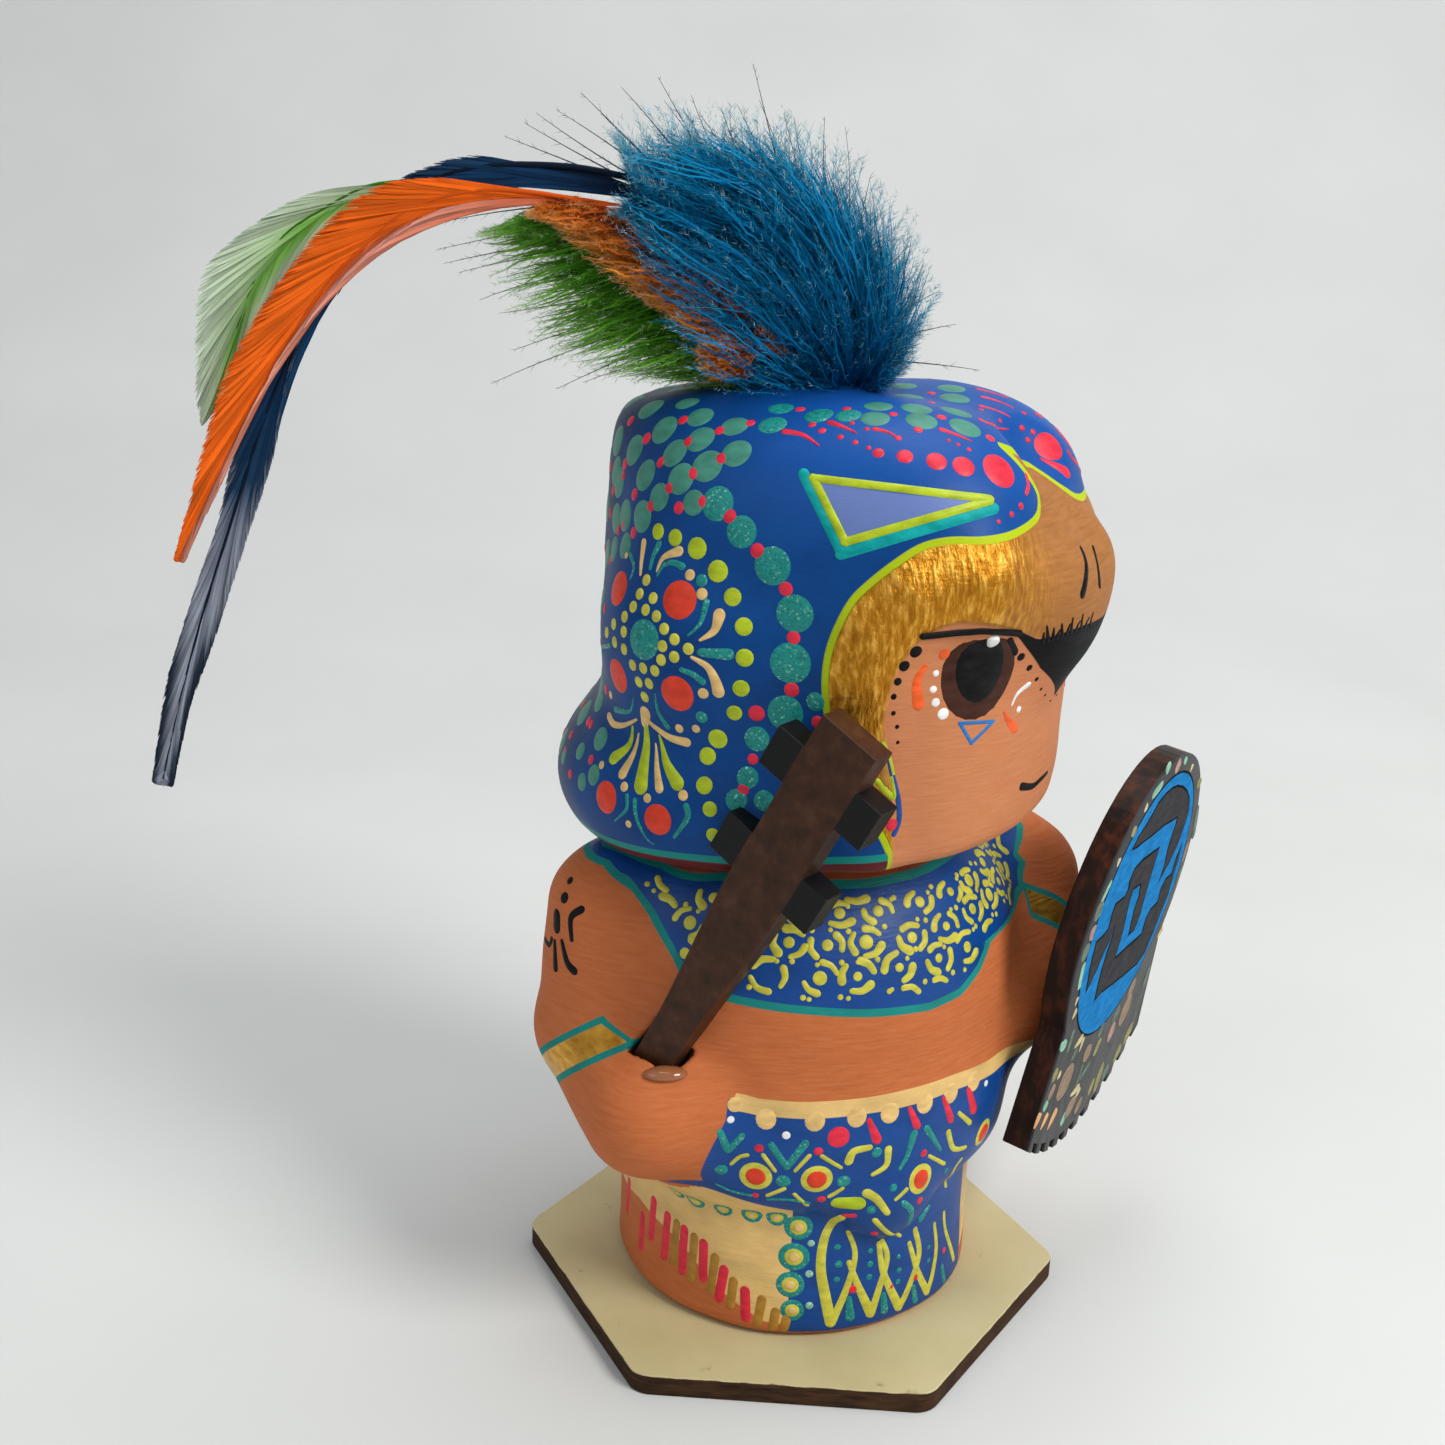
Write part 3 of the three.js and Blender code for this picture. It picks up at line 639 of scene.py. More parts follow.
def shield_material():
    n, colour = wood("shield_char", (0.006, 0.004, 0.0035), (0.020, 0.008, 0.005), (0.095, 0.024, 0.010), 0.40,
                     (1, 1, 0.35))
    front = n.step(n.value("board_z"), -0.32, 0.04)
    grey = n.ramp(n.noise(120), (0.3, 0.028, 0.028, 0.031), (0.7, 0.048, 0.048, 0.052))
    return n.surface(colour=n.mix(front, colour, grey), gloss=0.1)


def glue_material():
    return Look("dried_glue").surface(colour=(0.30, 0.105, 0.04), rough=0.06, gloss=0.6)


def floor_material():
    n = Look("floor_paper")
    paper = n.ramp(n.noise(9, (1, 1, 1), 3), (0.3, 0.60, 0.61, 0.60), (0.7, 0.64, 0.65, 0.64))
    return n.surface(colour=paper, rough=0.9, gloss=0.1)


def feather_material(name, *stops):
    """Dyed barbs: the colour runs from the shaft out, and each strand differs a little."""
    n = Look(name)
    uneven = n.calc("MULTIPLY_ADD", n.value("shade"), 0.6, 0.7)
    patchy = n.calc("MULTIPLY_ADD", n.noise(160, (1, 1, 1), 2), 0.5, 0.78)
    bright = n.add("VectorMath", operation="SCALE")
    n.put(bright.inputs[0], n.ramp(n.value("reach"), *stops))
    n.put(bright.inputs["Scale"], n.times(uneven, patchy))
    return n.surface(colour=bright.outputs[0], rough=n.blend(n.value("shade"), 0.55, 0.8), gloss=0.06)


# Where each paint ends: degrees round from the front, and the height or radius there
BIB_EDGE = (
    (-180, 62), (-140, 62.5), (-100, 64.2), (-90.7, 64.0), (-82, 62.2), (-75, 60.4), (-67, 56.6),
    (-61.5, 53.6), (-56, 52.3), (-47, 51.7), (-33, 51.1), (-17, 50.5), (6.4, 49.7), (17, 50.4),
    (26, 52.4), (34, 55), (41, 55.6),
    (58, 55.4), (67, 56.1), (72.5, 58.3), (77.7, 62.9), (82, 66.5), (90, 69), (100, 69.5), (112, 66.5), (125, 63),
    (180, 62),
)
BIB_SHOULDER = ((60, 29), (72, 29), (80, 34), (110, 34), (125, 29))
NECK_EDGE = (
    (-150, 24), (-97, 30), (-80, 25.3), (-60, 22.8), (-40, 21.5), (5, 20.9), (36, 21.2), (69, 22.5), (100, 24),
    (180, 24),
)
WAIST_TOP = (
    (-150, 38.2), (-50, 39.2), (-40, 38.1), (-28, 38.0), (16, 38.2), (41, 37.1), (70, 36.6), (150, 38.2),
)
HEM = (
    (-100, 24), (-54, 23.6), (-38, 21.4), (-21, 19.2), (-8, 15.5), (0, 13.2), (8, 14.8), (25, 16), (35, 20),
    (60, 23.8), (180, 23.8),
)
BARE_FOOT = ((0, 1.5), (37, 2.1), (51, 5.4), (67, 10.7), (88, 12.5), (125, 10.5), (180, 9))
WAIST_H = 2.3
SLOPE_STEP = 0.25
MM_A_DEGREE = 25.2 * math.pi / 180
RIGHT_BAND_AXIS = np.array([0.124, -0.64, -0.8]) / np.linalg.norm([0.124, -0.64, -0.8])
LEFT_BAND_AXIS = np.array([-0.43, -0.63, -0.65])


def height_at(turn, edge):
    turns, heights = np.array(edge).T
    return np.interp(turn, turns, heights)


def bib_height(p):
    """How far a point is above the bib's lower edge, counting the way up over the shoulder's slope."""
    x, y, z = p.T
    turn = np.degrees(np.arctan2(x, -y))
    shoulder = height_at(turn, BIB_SHOULDER)
    profile = z + np.maximum(0, shoulder - np.hypot(x, y)) * (z > 55)
    return profile - height_at(turn, BIB_EDGE)


def body_regions(p):
    """Where each colour lies on the body."""
    x, y, z = p.T
    turn = np.degrees(np.arctan2(x, -y))
    r = np.hypot(x, y)
    steps = np.eye(3) * SLOPE_STEP
    slope = np.stack([bib_height(p + step) - bib_height(p - step) for step in steps], -1) / (2 * SLOPE_STEP)
    normal = normals_of(body, p)
    slope -= normal * (slope * normal).sum(-1, keepdims=True)
    bib = bib_height(p) / np.linalg.norm(slope, axis=-1).clip(0.2, 3)
    neck = np.where(z > 58, height_at(turn, NECK_EDGE) - r, -5.0)
    right, left = right_arm(p), left_arm(p)
    top = height_at(turn, WAIST_TOP)
    waist = np.minimum.reduce([top - z, z - top + WAIST_H, (right - 0.9) * 1.5])
    waist = np.where((turn < -45.8) & (turn > -110), -1.0, waist)
    side = (turn - np.interp(z, [26.4, 35.2], [-52.9, -46.9])) * 0.52
    side = np.where((turn < -30) & (turn > -90), side, 5.0)
    garment = [top - 0.8 - z, z - height_at(turn, HEM), right - 0.9, left + 2.4, np.maximum(side, 25 - z)]
    panel = np.minimum.reduce([(turn + 29.5) * MM_A_DEGREE, (44 - turn) * MM_A_DEGREE, z - 0.7, 24.5 - z])
    panel = np.where((z < 24) & (r < 27.3), panel, -1.0)
    cream = np.where((z < 26) & (r < 29.5), z - height_at(np.abs(turn), BARE_FOOT), -1.0)
    along_right, along_left = p @ RIGHT_BAND_AXIS, p @ LEFT_BAND_AXIS
    right_band = np.minimum.reduce([along_right + 35.4, -29.8 - along_right, 4 * (0.9 - right), -17 - x])
    left_band = np.minimum.reduce([along_left + 41.8, -36.4 - along_left, 4 * (0.9 - left), x - 18])
    return {
        "bib": bib, "neck": neck, "waist": waist, "garment": np.minimum.reduce(garment), "panel": panel,
        "cream": cream, "band": np.maximum(right_band, left_band),
    }


# Outlines on the head: degrees round from the face, and height
RIGHT_BROW = (
    (22.5, 121.9), (18.7, 119.2), (15.7, 116.4), (17.2, 114.6), (20.2, 113.8), (25.5, 113.2), (30.7, 112.8),
    (38.1, 112.6),
)
LEFT_BROW = (
    (3.4, 117.9), (4.5, 115.9), (7, 114.7), (10.5, 113.8), (15, 113.3), (20.2, 113.1), (25.5, 113.0),
    (30.7, 112.8), (38.1, 112.6),
)
OPENING_SIDE = (
    (44.5, 112.6), (50, 111.9), (55, 110.2), (60.5, 107.6), (65, 104.8), (68.4, 100.4), (69.6, 96.5),
    (69.2, 92.6), (67.5, 88.6), (64, 84), (59, 79.4), (55.5, 76.4), (53.0, 73.6), (52.5, 66), (52.5, 55),
)
FACE = (
    (-9, 97.5), (6, 97.5), (14, 98.6), (21, 99.8), (28, 101.2), (36, 102.7), (43, 103.1), (49, 101.8),
    (53.4, 98.6), (55.8, 94.8), (56.6, 91), (55.6, 87), (54.2, 83), (53, 79), (52.6, 73.4), (52.4, 66),
    (52.4, 55), (-9, 55),
)
BEAK_TIP = (
    (-9, 100.2), (0, 100.2), (6, 100.3), (9.4, 100.5), (14.8, 100.4), (18.9, 99.9), (22, 99.7), (26.7, 101),
    (30.2, 101.7), (26.2, 99.9), (17.8, 95.4), (8, 91.8), (0, 89), (-9, 89),
)
TRIANGLE = ((76.5, 118.3), (33.5, 116.9), (66.6, 112.2))
HEAD_MM_A_DEGREE = 0.52


def smooth_step(value, low, high):
    t = np.clip((value - low) / (high - low), 0, 1)
    return t ** 2 * (3 - 2 * t)


def on_head(outline, straight=0):
    """An outline in millimetres, rounded but for its last points."""
    flat = [(turn * HEAD_MM_A_DEGREE, z) for turn, z in outline]
    return rounded(flat[:-straight]).tolist() + flat[-straight:] if straight else flat


def head_regions(figure_point):
    """Where each colour lies on the head."""
    x, y, z = to_head(figure_point).T
    turn = np.degrees(np.arctan2(np.abs(x), -y))
    to_right = np.degrees(np.arctan2(-x, -y)) * HEAD_MM_A_DEGREE
    right, left = (on_head(brow + OPENING_SIDE, 2) for brow in (RIGHT_BROW, LEFT_BROW))
    u = turn * HEAD_MM_A_DEGREE
    return {
        "opening": inside_outline(to_right, z, right + [(-a, b) for a, b in reversed(left)]),
        "face": inside_outline(u, z, on_head(FACE, 3)),
        "tip": inside_outline(u, z, on_head(BEAK_TIP)),
        "lavender": inside_outline(u, z, on_head(TRIANGLE)),
        "rim": rim_height(to_head(figure_point)),
        "beak": 1 - smooth_step(turn, 16, 36),
        # front: where the painted highlight lies, over the top of the helmet's front; back: where the painted
        # shade lies, round its back
        "front": (1 - smooth_step(turn, 70, 120)) * smooth_step(z, 108, 122),
        "back": smooth_step(turn, 125, 160),
    }


def clay_pieces():
    for name, form, regions, material, low, high in (
            ("clay_body", body, body_regions, body_material(), (-41, -39, -2), (46, 36, 74)),
            ("clay_head", head, head_regions, head_material(), (-36, -40, 62), (39, 37, 128))):
        points, faces = surface_net(form, low, high, CELL)
        made = new_piece(name, points, faces, material, "clay_figure")
        for region, values in regions(points).items():
            put_values(made, region, values)


# Camera, light and floor
WORLD_TONE = (0.93, 0.97, 1.0, 1.0)
WORLD_STRENGTH = 0.42
LIT_PLACE = (0, 0, 0.08)
LAMPS = (
    ("key", (0.30, -0.58, 0.62), 0.35, 5.6, (1.0, 0.98, 0.95)),
    ("fill", (-0.70, -0.20, 0.55), 0.6, 1.0, (0.92, 0.96, 1.0)),
    ("top", (0.22, 0.10, 0.95), 0.7, 4.2, (1, 1, 1)),
)
FLOOR_SIDE = 2.2
FLOOR_FRONT = -1.8
FLOOR_BACK = 0.75
FLOOR_RISE = 1.6
FLOOR_BEND = 0.5
FLOOR_STEPS = 12
FLOOR_GAP = 0.00002


def in_scene(name, data):
    made = bpy.data.objects.new(name, data)
    bpy.context.scene.collection.objects.link(made)
    return made


def camera():
    data = bpy.data.cameras.new("camera")
    data.sensor_width = 36
    data.lens = FOCAL_PX / IMAGE_SIDE * data.sensor_width
    data.clip_end = 20
    made = in_scene("camera", data)
    turned = Matrix(np.array([VIEW[0], -VIEW[1], -VIEW[2]]).T.tolist()).to_4x4()
    made.matrix_world = Matrix.Translation(Vector(CAMERA_AT * MM)) @ turned
    bpy.context.scene.camera = made


def lights():
    bpy.context.scene.view_settings.view_transform = "Standard"
    world = bpy.data.worlds.new("world")
    world.use_nodes = True
    sky = world.node_tree.nodes["Background"].inputs
    sky["Color"].default_value = WORLD_TONE
    sky["Strength"].default_value = WORLD_STRENGTH
    bpy.context.scene.world = world
    for name, place, size, power, tone in LAMPS:
        data = bpy.data.lights.new(name, "AREA")
        data.shape = "DISK"
        data.size = size
        data.energy = power
        data.color = tone
        made = in_scene(name, data)
        made.location = place
        made.rotation_euler = (Vector(LIT_PLACE) - Vector(place)).to_track_quat("-Z", "Y").to_euler()


def floor():
    """Paper that lies flat and rises in a bend behind the figure, square to the camera."""
    profile = [(FLOOR_FRONT, 0.0), (FLOOR_BACK - FLOOR_BEND, 0.0)]
    for k in range(1, FLOOR_STEPS + 1):
        a = math.radians(90 * k / FLOOR_STEPS)
        profile.append((FLOOR_BACK - FLOOR_BEND * (1 - math.sin(a)), FLOOR_BEND * (1 - math.cos(a))))
    profile.append((FLOOR_BACK, FLOOR_RISE))
    points = [Vector((side, y, z - FLOOR_GAP)) for side in (-FLOOR_SIDE, FLOOR_SIDE) for y, z in profile]
    count = len(profile)
    faces = [(i, count + i, count + i + 1, i + 1) for i in range(count - 1)]
    mesh = bpy.data.meshes.new("floor")
    turn = Matrix.Rotation(math.radians(-CAMERA_YAW), 3, "Z")
    mesh.from_pydata([p @ turn for p in points], [], faces)
    mesh.materials.append(floor_material())
    mesh.polygons.foreach_set("use_smooth", [True] * len(mesh.polygons))
    in_scene("floor", mesh)


# Boards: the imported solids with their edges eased
SHARP = math.radians(25)
FLAT = math.radians(1)
GLUE_RADII = np.array([2.9, 1.5, 0.95])
GLUE_TURN = -20
GLUE_RINGS = 8
GLUE_SIDES = 20


def eased_board(node, name, bevel, material):
    work = bmesh.new()
    work.from_mesh(nodes[node].data)
    bmesh.ops.remove_doubles(work, verts=work.verts, dist=1e-6)
    bmesh.ops.dissolve_limit(work, angle_limit=FLAT, verts=work.verts, edges=work.edges)
    sharp = [e for e in work.edges if len(e.link_faces) == 2 and e.calc_face_angle(0) > SHARP]
    bmesh.ops.bevel(work, geom=sharp, offset=bevel * MM, segments=2, profile=0.5, affect="EDGES")
    bmesh.ops.triangulate(work, faces=work.faces)
    mesh = bpy.data.meshes.new(name)
    work.to_mesh(mesh)
    work.free()
    return adopt(name, mesh, [material], node)


def board_values(piece, centre, axes):
    """Each point's place on its board, in millimetres, for the material."""
    points = np.zeros(len(piece.data.vertices) * 3)
    piece.data.vertices.foreach_get("co", points)
    local = (points.reshape(-1, 3) / MM - FIGURE_AT - centre) @ axes
    for k, name in enumerate(("board_x", "board_y", "board_z")):
        put_values(piece, name, local[:, k])


def boards():
    eased_board("base_plate", "base_board", 0.22, base_material())
    board_values(eased_board("club", "club_board", 0.18, club_material()), CLUB_MOUTH, CLUB_AXES)
    glue_bead()
    board_values(eased_board("shield", "shield_board", 0.2, shield_material()), SHIELD_CENTRE, SHIELD_AXES)


def glue_bead():
    """A low lump of clear glue at the club's foot."""
    turns = np.linspace(0, 2 * math.pi, GLUE_SIDES, endpoint=False)
    across, around = np.meshgrid(np.linspace(0, math.pi, GLUE_RINGS + 1), turns)
    ball = np.stack([np.sin(across) * np.cos(around), np.sin(across) * np.sin(around), np.cos(across)], -1)
    lump = (ball * GLUE_RADII).reshape(-1, 3) @ turn_z(GLUE_TURN).T
    wide = GLUE_RINGS + 1
    faces = []
    for i in range(GLUE_SIDES):
        here, after = i * wide, (i + 1) % GLUE_SIDES * wide
        faces += [(here + k + 1, after + k + 1, after + k, here + k) for k in range(GLUE_RINGS)]
    new_piece("glue_bead", lump + GLUE_AT, faces, glue_material())


# The shield's picture: flat paint on its front face, placed by pixels of the photograph
DISC_AT = (0.2, 0.4)
DISC_R = 19.7
LEAF_FROM = 0.85
CRESCENT = (
    (1133, 848), (1138, 838), (1145, 827), (1152, 815), (1158, 804), (1165, 795), (1172, 789), (1177, 787),
    (1182, 788), (1186, 792), (1188, 799), (1188, 805), (1187, 813), (1184, 824), (1181, 832), (1178, 841),
    (1173, 852), (1168, 863), (1164, 870), (1159, 880), (1162, 872), (1165, 862), (1168, 848), (1172, 835),
    (1176, 823), (1178, 815), (1172, 819), (1165, 823), (1158, 829), (1152, 834), (1145, 839), (1138, 845),
)
FRET = (
    (1158, 849), (1150, 855), (1142, 861), (1134, 870), (1130, 880), (1128, 890), (1124, 898), (1115, 905),
    (1112, 914), (1108, 930), (1103, 936), (1096, 943), (1093, 955), (1090, 968), (1086.5, 989),
    (1091, 980), (1097, 967), (1103, 952), (1109, 940), (1115, 922), (1112, 937), (1107, 952), (1102, 968),
    (1098, 984), (1095, 998), (1101, 991), (1113, 982), (1124, 973), (1137, 962), (1145, 950), (1153, 930),
    (1160, 912), (1167, 895), (1172, 876), (1177, 861), (1181, 845), (1177, 855), (1173, 868), (1171, 875),
    (1165, 880), (1161, 888), (1157, 903), (1150, 910), (1146, 918), (1141, 935), (1133, 942), (1124, 950),
    (1113.5, 960), (1117, 948), (1121, 935), (1125, 917), (1129, 900), (1133, 888), (1141, 882),
    (1139, 895), (1134, 910), (1129, 933), (1134, 928), (1139, 915), (1143, 900), (1147, 886), (1151, 872),
)

# Small marks: where each starts and ends, and half its width in millimetres
BRUSH = {
    "mint": (
        ((1152, 797), (1163, 783), 0.5), ((1166, 773), (1171, 763), 0.6), ((1101, 903), (1112, 880), 0.4),
        ((1079, 989), (1084, 963), 0.55), ((1061, 1052), (1066, 1039), 0.9),
        ((1043, 1111), (1048, 1101), 0.6), ((1060, 1125), (1066, 1113), 0.7), ((1184, 764), (1187, 757), 0.6),
    ),
    "sage": (
        ((1094, 919), (1104, 903), 0.95), ((1081, 960), (1090, 945), 0.9), ((1193, 838), (1198, 806), 0.5),
        ((1176, 885), (1182, 866), 0.5), ((1143, 987), (1150, 965), 0.6), ((1112, 1022), (1120, 1006), 0.7),
        ((1098, 1037), (1104, 1022), 0.6), ((1067, 1053), (1074, 1029), 0.45),
        ((1102, 1080), (1108, 1064), 0.9), ((1071, 1060), (1077, 1049), 0.4),
        ((1079, 1080), (1090, 1062), 0.4), ((1075, 1088), (1083, 1064), 0.35),
    ),
    "pink": (
        ((1090, 941), (1096, 925), 0.95), ((1175, 772), (1181, 760), 0.7), ((1108, 1042), (1114, 1022), 0.9),
    ),
    "ivory": (
        ((1144, 812), (1148, 804), 0.6), ((1117, 867), (1120, 858), 0.6), ((1075, 1006), (1078, 997), 0.5),
        ((1072, 1019), (1077, 1009), 0.6), ((1190, 772), (1193, 764), 0.5), ((1157, 937), (1163, 928), 0.6),
        ((1074, 1048), (1083, 1036), 0.6), ((1079, 1052), (1084, 1037), 0.55),
        ((1057, 1079), (1061, 1072), 0.6), ((1070, 1096), (1079, 1086), 0.6),
        ((1075, 1098), (1080, 1087), 0.8),
    ),
    "olive": (
        ((1132, 837), (1136, 826), 0.65), ((1197, 788), (1201, 778), 0.8), ((1093, 1056), (1101, 1038), 0.6),
        ((1094, 1092), (1103, 1062), 0.9), ((1123, 1044), (1133, 1022), 0.9),
        ((1113, 1062), (1121, 1044), 0.8), ((1052, 1080), (1058, 1070), 0.7),
        ((1088, 1095), (1094, 1078), 0.6),
    ),
    "beige": (
        ((1056, 1098), (1074, 1066), 1.9), ((1083, 1062), (1091, 1044), 1.2),
        ((1119, 1026), (1131, 994), 1.5), ((1127, 998), (1136, 978), 0.9), ((1048, 1100), (1055, 1084), 0.7),
        ((1064, 1116), (1076, 1098), 1.1), ((1182, 862), (1188, 842), 0.5), ((1074, 1113), (1082, 1098), 0.7),
    ),
    "peach": (
        ((1034, 1129), (1041, 1113), 0.75), ((1040, 1130), (1048, 1113), 0.75),
        ((1047, 1130), (1057, 1108), 0.9),
    ),
}


def on_shield(*pixels):
    """Places on the shield's front face, across and up from its centre."""
    rays = seen_at(*pixels)
    out = SHIELD_AXES[:, 2]
    t = ((SHIELD_CENTRE - rays[:, :3]) @ out) / (rays[:, 3:] @ out)
    return (rays[:, :3] + rays[:, 3:] * t[:, None] - SHIELD_CENTRE) @ SHIELD_AXES[:, :2]


def leaf(start, end, half_width, shape="stroke"):
    """Outline of a brush mark between two pixels: a round-ended stroke, or a leaf that is widest half-way."""
    a, b = on_shield(start, end)
    ahead = b - a
    aside = np.array([-ahead[1], ahead[0]]) / np.linalg.norm(ahead)
    t = np.linspace(0, math.pi, 12)
    share = (1 - np.cos(t)) / 2
    swell = np.sin(t) ** (0.5 if shape == "stroke" else 1.1) * half_width
    if shape == "comma":
        swell = np.sin(t) ** 0.6 * half_width * (0.35 + 0.65 * share)
    middle = a + share[:, None] * ahead
    out = swell[:, None] * aside
    return np.concatenate([middle + out, (middle - out)[-2:0:-1]])


def shield_picture():
    angles = np.linspace(0, 2 * math.pi, 96, endpoint=False)
    ring = np.column_stack([np.cos(angles), np.sin(angles)])
    flat = {
        "black": [(0.02, DISC_AT + ring * (DISC_R + 0.35))],
        "art_blue": [(0.05, DISC_AT + ring * DISC_R)],
    }
    for outline in (CRESCENT, FRET):
        places = on_shield(*outline)
        flat["black"].append((0.07, grown(places, 0.4)))
        flat.setdefault("art_grey", []).append((0.09, places))
    for tone, strokes in BRUSH.items():
        for start, end, half_width in strokes:
            shape = "comma" if tone in ("ivory", "peach") else "leaf" if half_width > LEAF_FROM else "stroke"
            flat.setdefault("flat_" + tone, []).append((0.04, leaf(start, end, half_width * 1.5, shape)))
    for tone, shapes in flat.items():
        flat_piece("shield_" + tone, tone.replace("flat_", ""), shapes)


def turns_left(outline):
    """Whether the outline, or a triangle, goes round against the clock."""
    x, y = np.array(outline).T
    return (x * np.roll(y, -1) - y * np.roll(x, -1)).sum() > 0


def grown(outline, by):
    """The outline moved outwards by a distance."""
    ahead = np.roll(outline, -1, 0) - outline
    side = np.stack([ahead[:, 1], -ahead[:, 0]], 1) / np.linalg.norm(ahead, axis=1, keepdims=True)
    side = side if turns_left(outline) else -side
    lean = side + np.roll(side, 1, 0)
    lean /= np.maximum((lean ** 2).sum(1, keepdims=True) / 2, 0.5)
    return outline + lean * by


def flat_piece(name, tone, shapes):
    """Flat paint on the shield: a thin slab for each outline."""
    points, faces = [], []
    for height, outline in shapes:
        base, n = len(points), len(outline)
        points += [(x, y, height) for x, y in outline] + [(x, y, -0.1) for x, y in outline]
        for tri in tessellate_polygon([[Vector((x, y, 0)) for x, y in outline]]):
            upright = turns_left([outline[v] for v in tri])
            faces.append(tuple(base + v for v in (tri if upright else tri[::-1])))
        outwards = turns_left(outline)
        for i in range(n):
            j = (i + 1) % n
            side = (base + i, base + n + i, base + n + j, base + j)
            faces.append(side if outwards else side[::-1])
    placed = np.array(points) @ SHIELD_AXES.T + SHIELD_CENTRE
    new_piece(name, placed, faces, paint(name, TONES[tone], 0.8, gloss=0.04), smooth=False)


# Paint laid on the surface: dots and strokes, each placed by a ray that meets the figure
CARRIERS = {"head": head, "body": body}
DOT_RINGS = ((0.0, 1.0), (0.5, 0.9), (0.86, 0.5), (1.0, -0.5))
STROKE_SECTION = ((-1.0, -0.5), (-0.8, 0.5), (0.0, 1.0), (0.8, 0.5), (1.0, -0.5))
CAP_SHARES = (0.0, 0.06, 0.25, 0.55, 0.86)
PAINT_HEIGHT = 0.10
LAYER_HEIGHT = 0.05
MIDDLE = 0.8
RAY_FROM = 60
GLITTERY = ("teal", "mint")
MATT = ("black", "brown", "aqua")
marks = []


def seen_at(*pixels):
    """Rays from the camera through pixels of the photograph."""
    px = np.array(pixels, float).reshape(-1, 2) - IMAGE_SIDE / 2
    ahead = np.column_stack([px / FOCAL_PX, np.ones(len(px))]) @ VIEW
    ahead /= np.linalg.norm(ahead, axis=1, keepdims=True)
    return np.column_stack([np.tile(CAMERA_AT - FIGURE_AT, (len(px), 1)), ahead])


def inwards(start, target):
    ahead = target - start
    return np.column_stack([start, ahead / np.linalg.norm(ahead, axis=1, keepdims=True)])


def round_head(*places):
    """Rays in to the head's axis, from its right side: degrees round from the face, and height."""
    turn, z = np.radians([p[0] for p in places]), np.array([p[1] for p in places], float)
    start = np.stack([-RAY_FROM * np.sin(turn), -RAY_FROM * np.cos(turn), z], 1)
    return inwards(from_head(start), from_head(start * [0, 0, 1]))


def over_head(*places):
    """Rays down onto the helmet at x, y of the head's frame."""
    start = np.array([(x, y, 180.0) for x, y in places])
    return inwards(from_head(start), from_head(start * [1, 1, 0]))


def round_body(*places, aim=None):
    """Rays in to the body's axis: degrees round from its front, and height; or all to one height."""
    turn, z = np.radians([p[0] for p in places]), np.array([p[1] for p in places], float)
    start = np.stack([RAY_FROM * np.sin(turn), -RAY_FROM * np.cos(turn), z], 1)
    target = start * [0, 0, 1] if aim is None else np.tile([0.0, 0.0, aim], (len(z), 1))
    return inwards(start, target)


def dots(tone, r, rays, carrier, mirrored=True, **more):
    for ray in rays:
        mark = {"tone": tone, "r": r, "rays": ray[None], "carrier": carrier, "mirrored": mirrored}
        marks.append({**mark, "layer": 0, "tall": 1.0, "angle": 0.0, "keep": None, **more})


def stroke(tone, w0, w1, rays, carrier, mirrored=True, layer=0, keep=None):
    marks.append({"tone": tone, "w": (w0, w1), "rays": rays, "carrier": carrier, "mirrored": mirrored,
                  "layer": layer, "keep": keep})


def lay_marks(carrier, dot_rows, stroke_rows, mirrored=True):
    """Lays dots, given as a radius and pixels, and strokes, given as two half-widths and their paths."""
    for tone, rows in dot_rows.items():
        for r, *pixels in rows:
            dots(tone, r, seen_at(*pixels), carrier, mirrored)
    for tone, rows in stroke_rows.items():
        for w0, w1, *paths in rows:
            for path in paths:
                stroke(tone, w0, w1, seen_at(*path), carrier, mirrored)


def between(start, end):
    """Pixels along a straight line, so that its mark follows the curved surface."""
    return np.linspace(start, end, 7)


def meet(form, rays):
    """Where rays first meet the form, and which of them do."""
    start, ahead = rays[:, :3], rays[:, 3:]
    t = np.zeros(len(rays))
    for _ in range(110):
        d = form(start + ahead * t[:, None])
        t += np.clip(d, -4, 30) * 0.8
    points = start + ahead * t[:, None]
    return points, np.abs(form(points)) < 0.2


def along(points, spacing):
    """Points on the smooth curve through the given ones, evenly spaced."""
    fine = rounded(points, 8) if len(points) > 2 else np.linspace(points[0], points[1], 9)
    step = np.linalg.norm(np.diff(fine, axis=0), axis=1)
    reach = np.concatenate([[0], np.cumsum(step)])
    count = max(int(reach[-1] / spacing), 3)
    at = np.linspace(0, reach[-1], count + 1)
    return np.stack([np.interp(at, reach, fine[:, k]) for k in range(3)], 1), at


def dot_mesh(mark, centre, normal):
    r = mark["r"]
    up = np.array([0, 0, 1.0]) if abs(normal[2]) < 0.9 else np.array([0, 1.0, 0])
    right = np.cross(up, normal)
    right /= np.linalg.norm(right)
    up = np.cross(normal, right)
    a = math.radians(mark["angle"])
    right, up = right * math.cos(a) + up * math.sin(a), up * math.cos(a) - right * math.sin(a)
    sides = 10 if r < 0.6 else 14 if r < 1.6 else 22
    points, lifts, faces = [centre], [DOT_RINGS[0][1]], []
    for share, lift in DOT_RINGS[1:]:
        for k in range(sides):
            b = 2 * math.pi * k / sides
            over, rise = share * r * math.cos(b), share * r * mark["tall"] * math.sin(b)
            points.append(centre + right * over + up * rise)
            lifts.append(lift)
    for k in range(sides):
        n = (k + 1) % sides
        faces.append((0, 1 + k, 1 + n))
        for ring in (0, 1):
            a0, a1 = 1 + ring * sides, 1 + (ring + 1) * sides
            faces.append((a0 + k, a1 + k, a1 + n, a0 + n))
    return points, lifts, faces


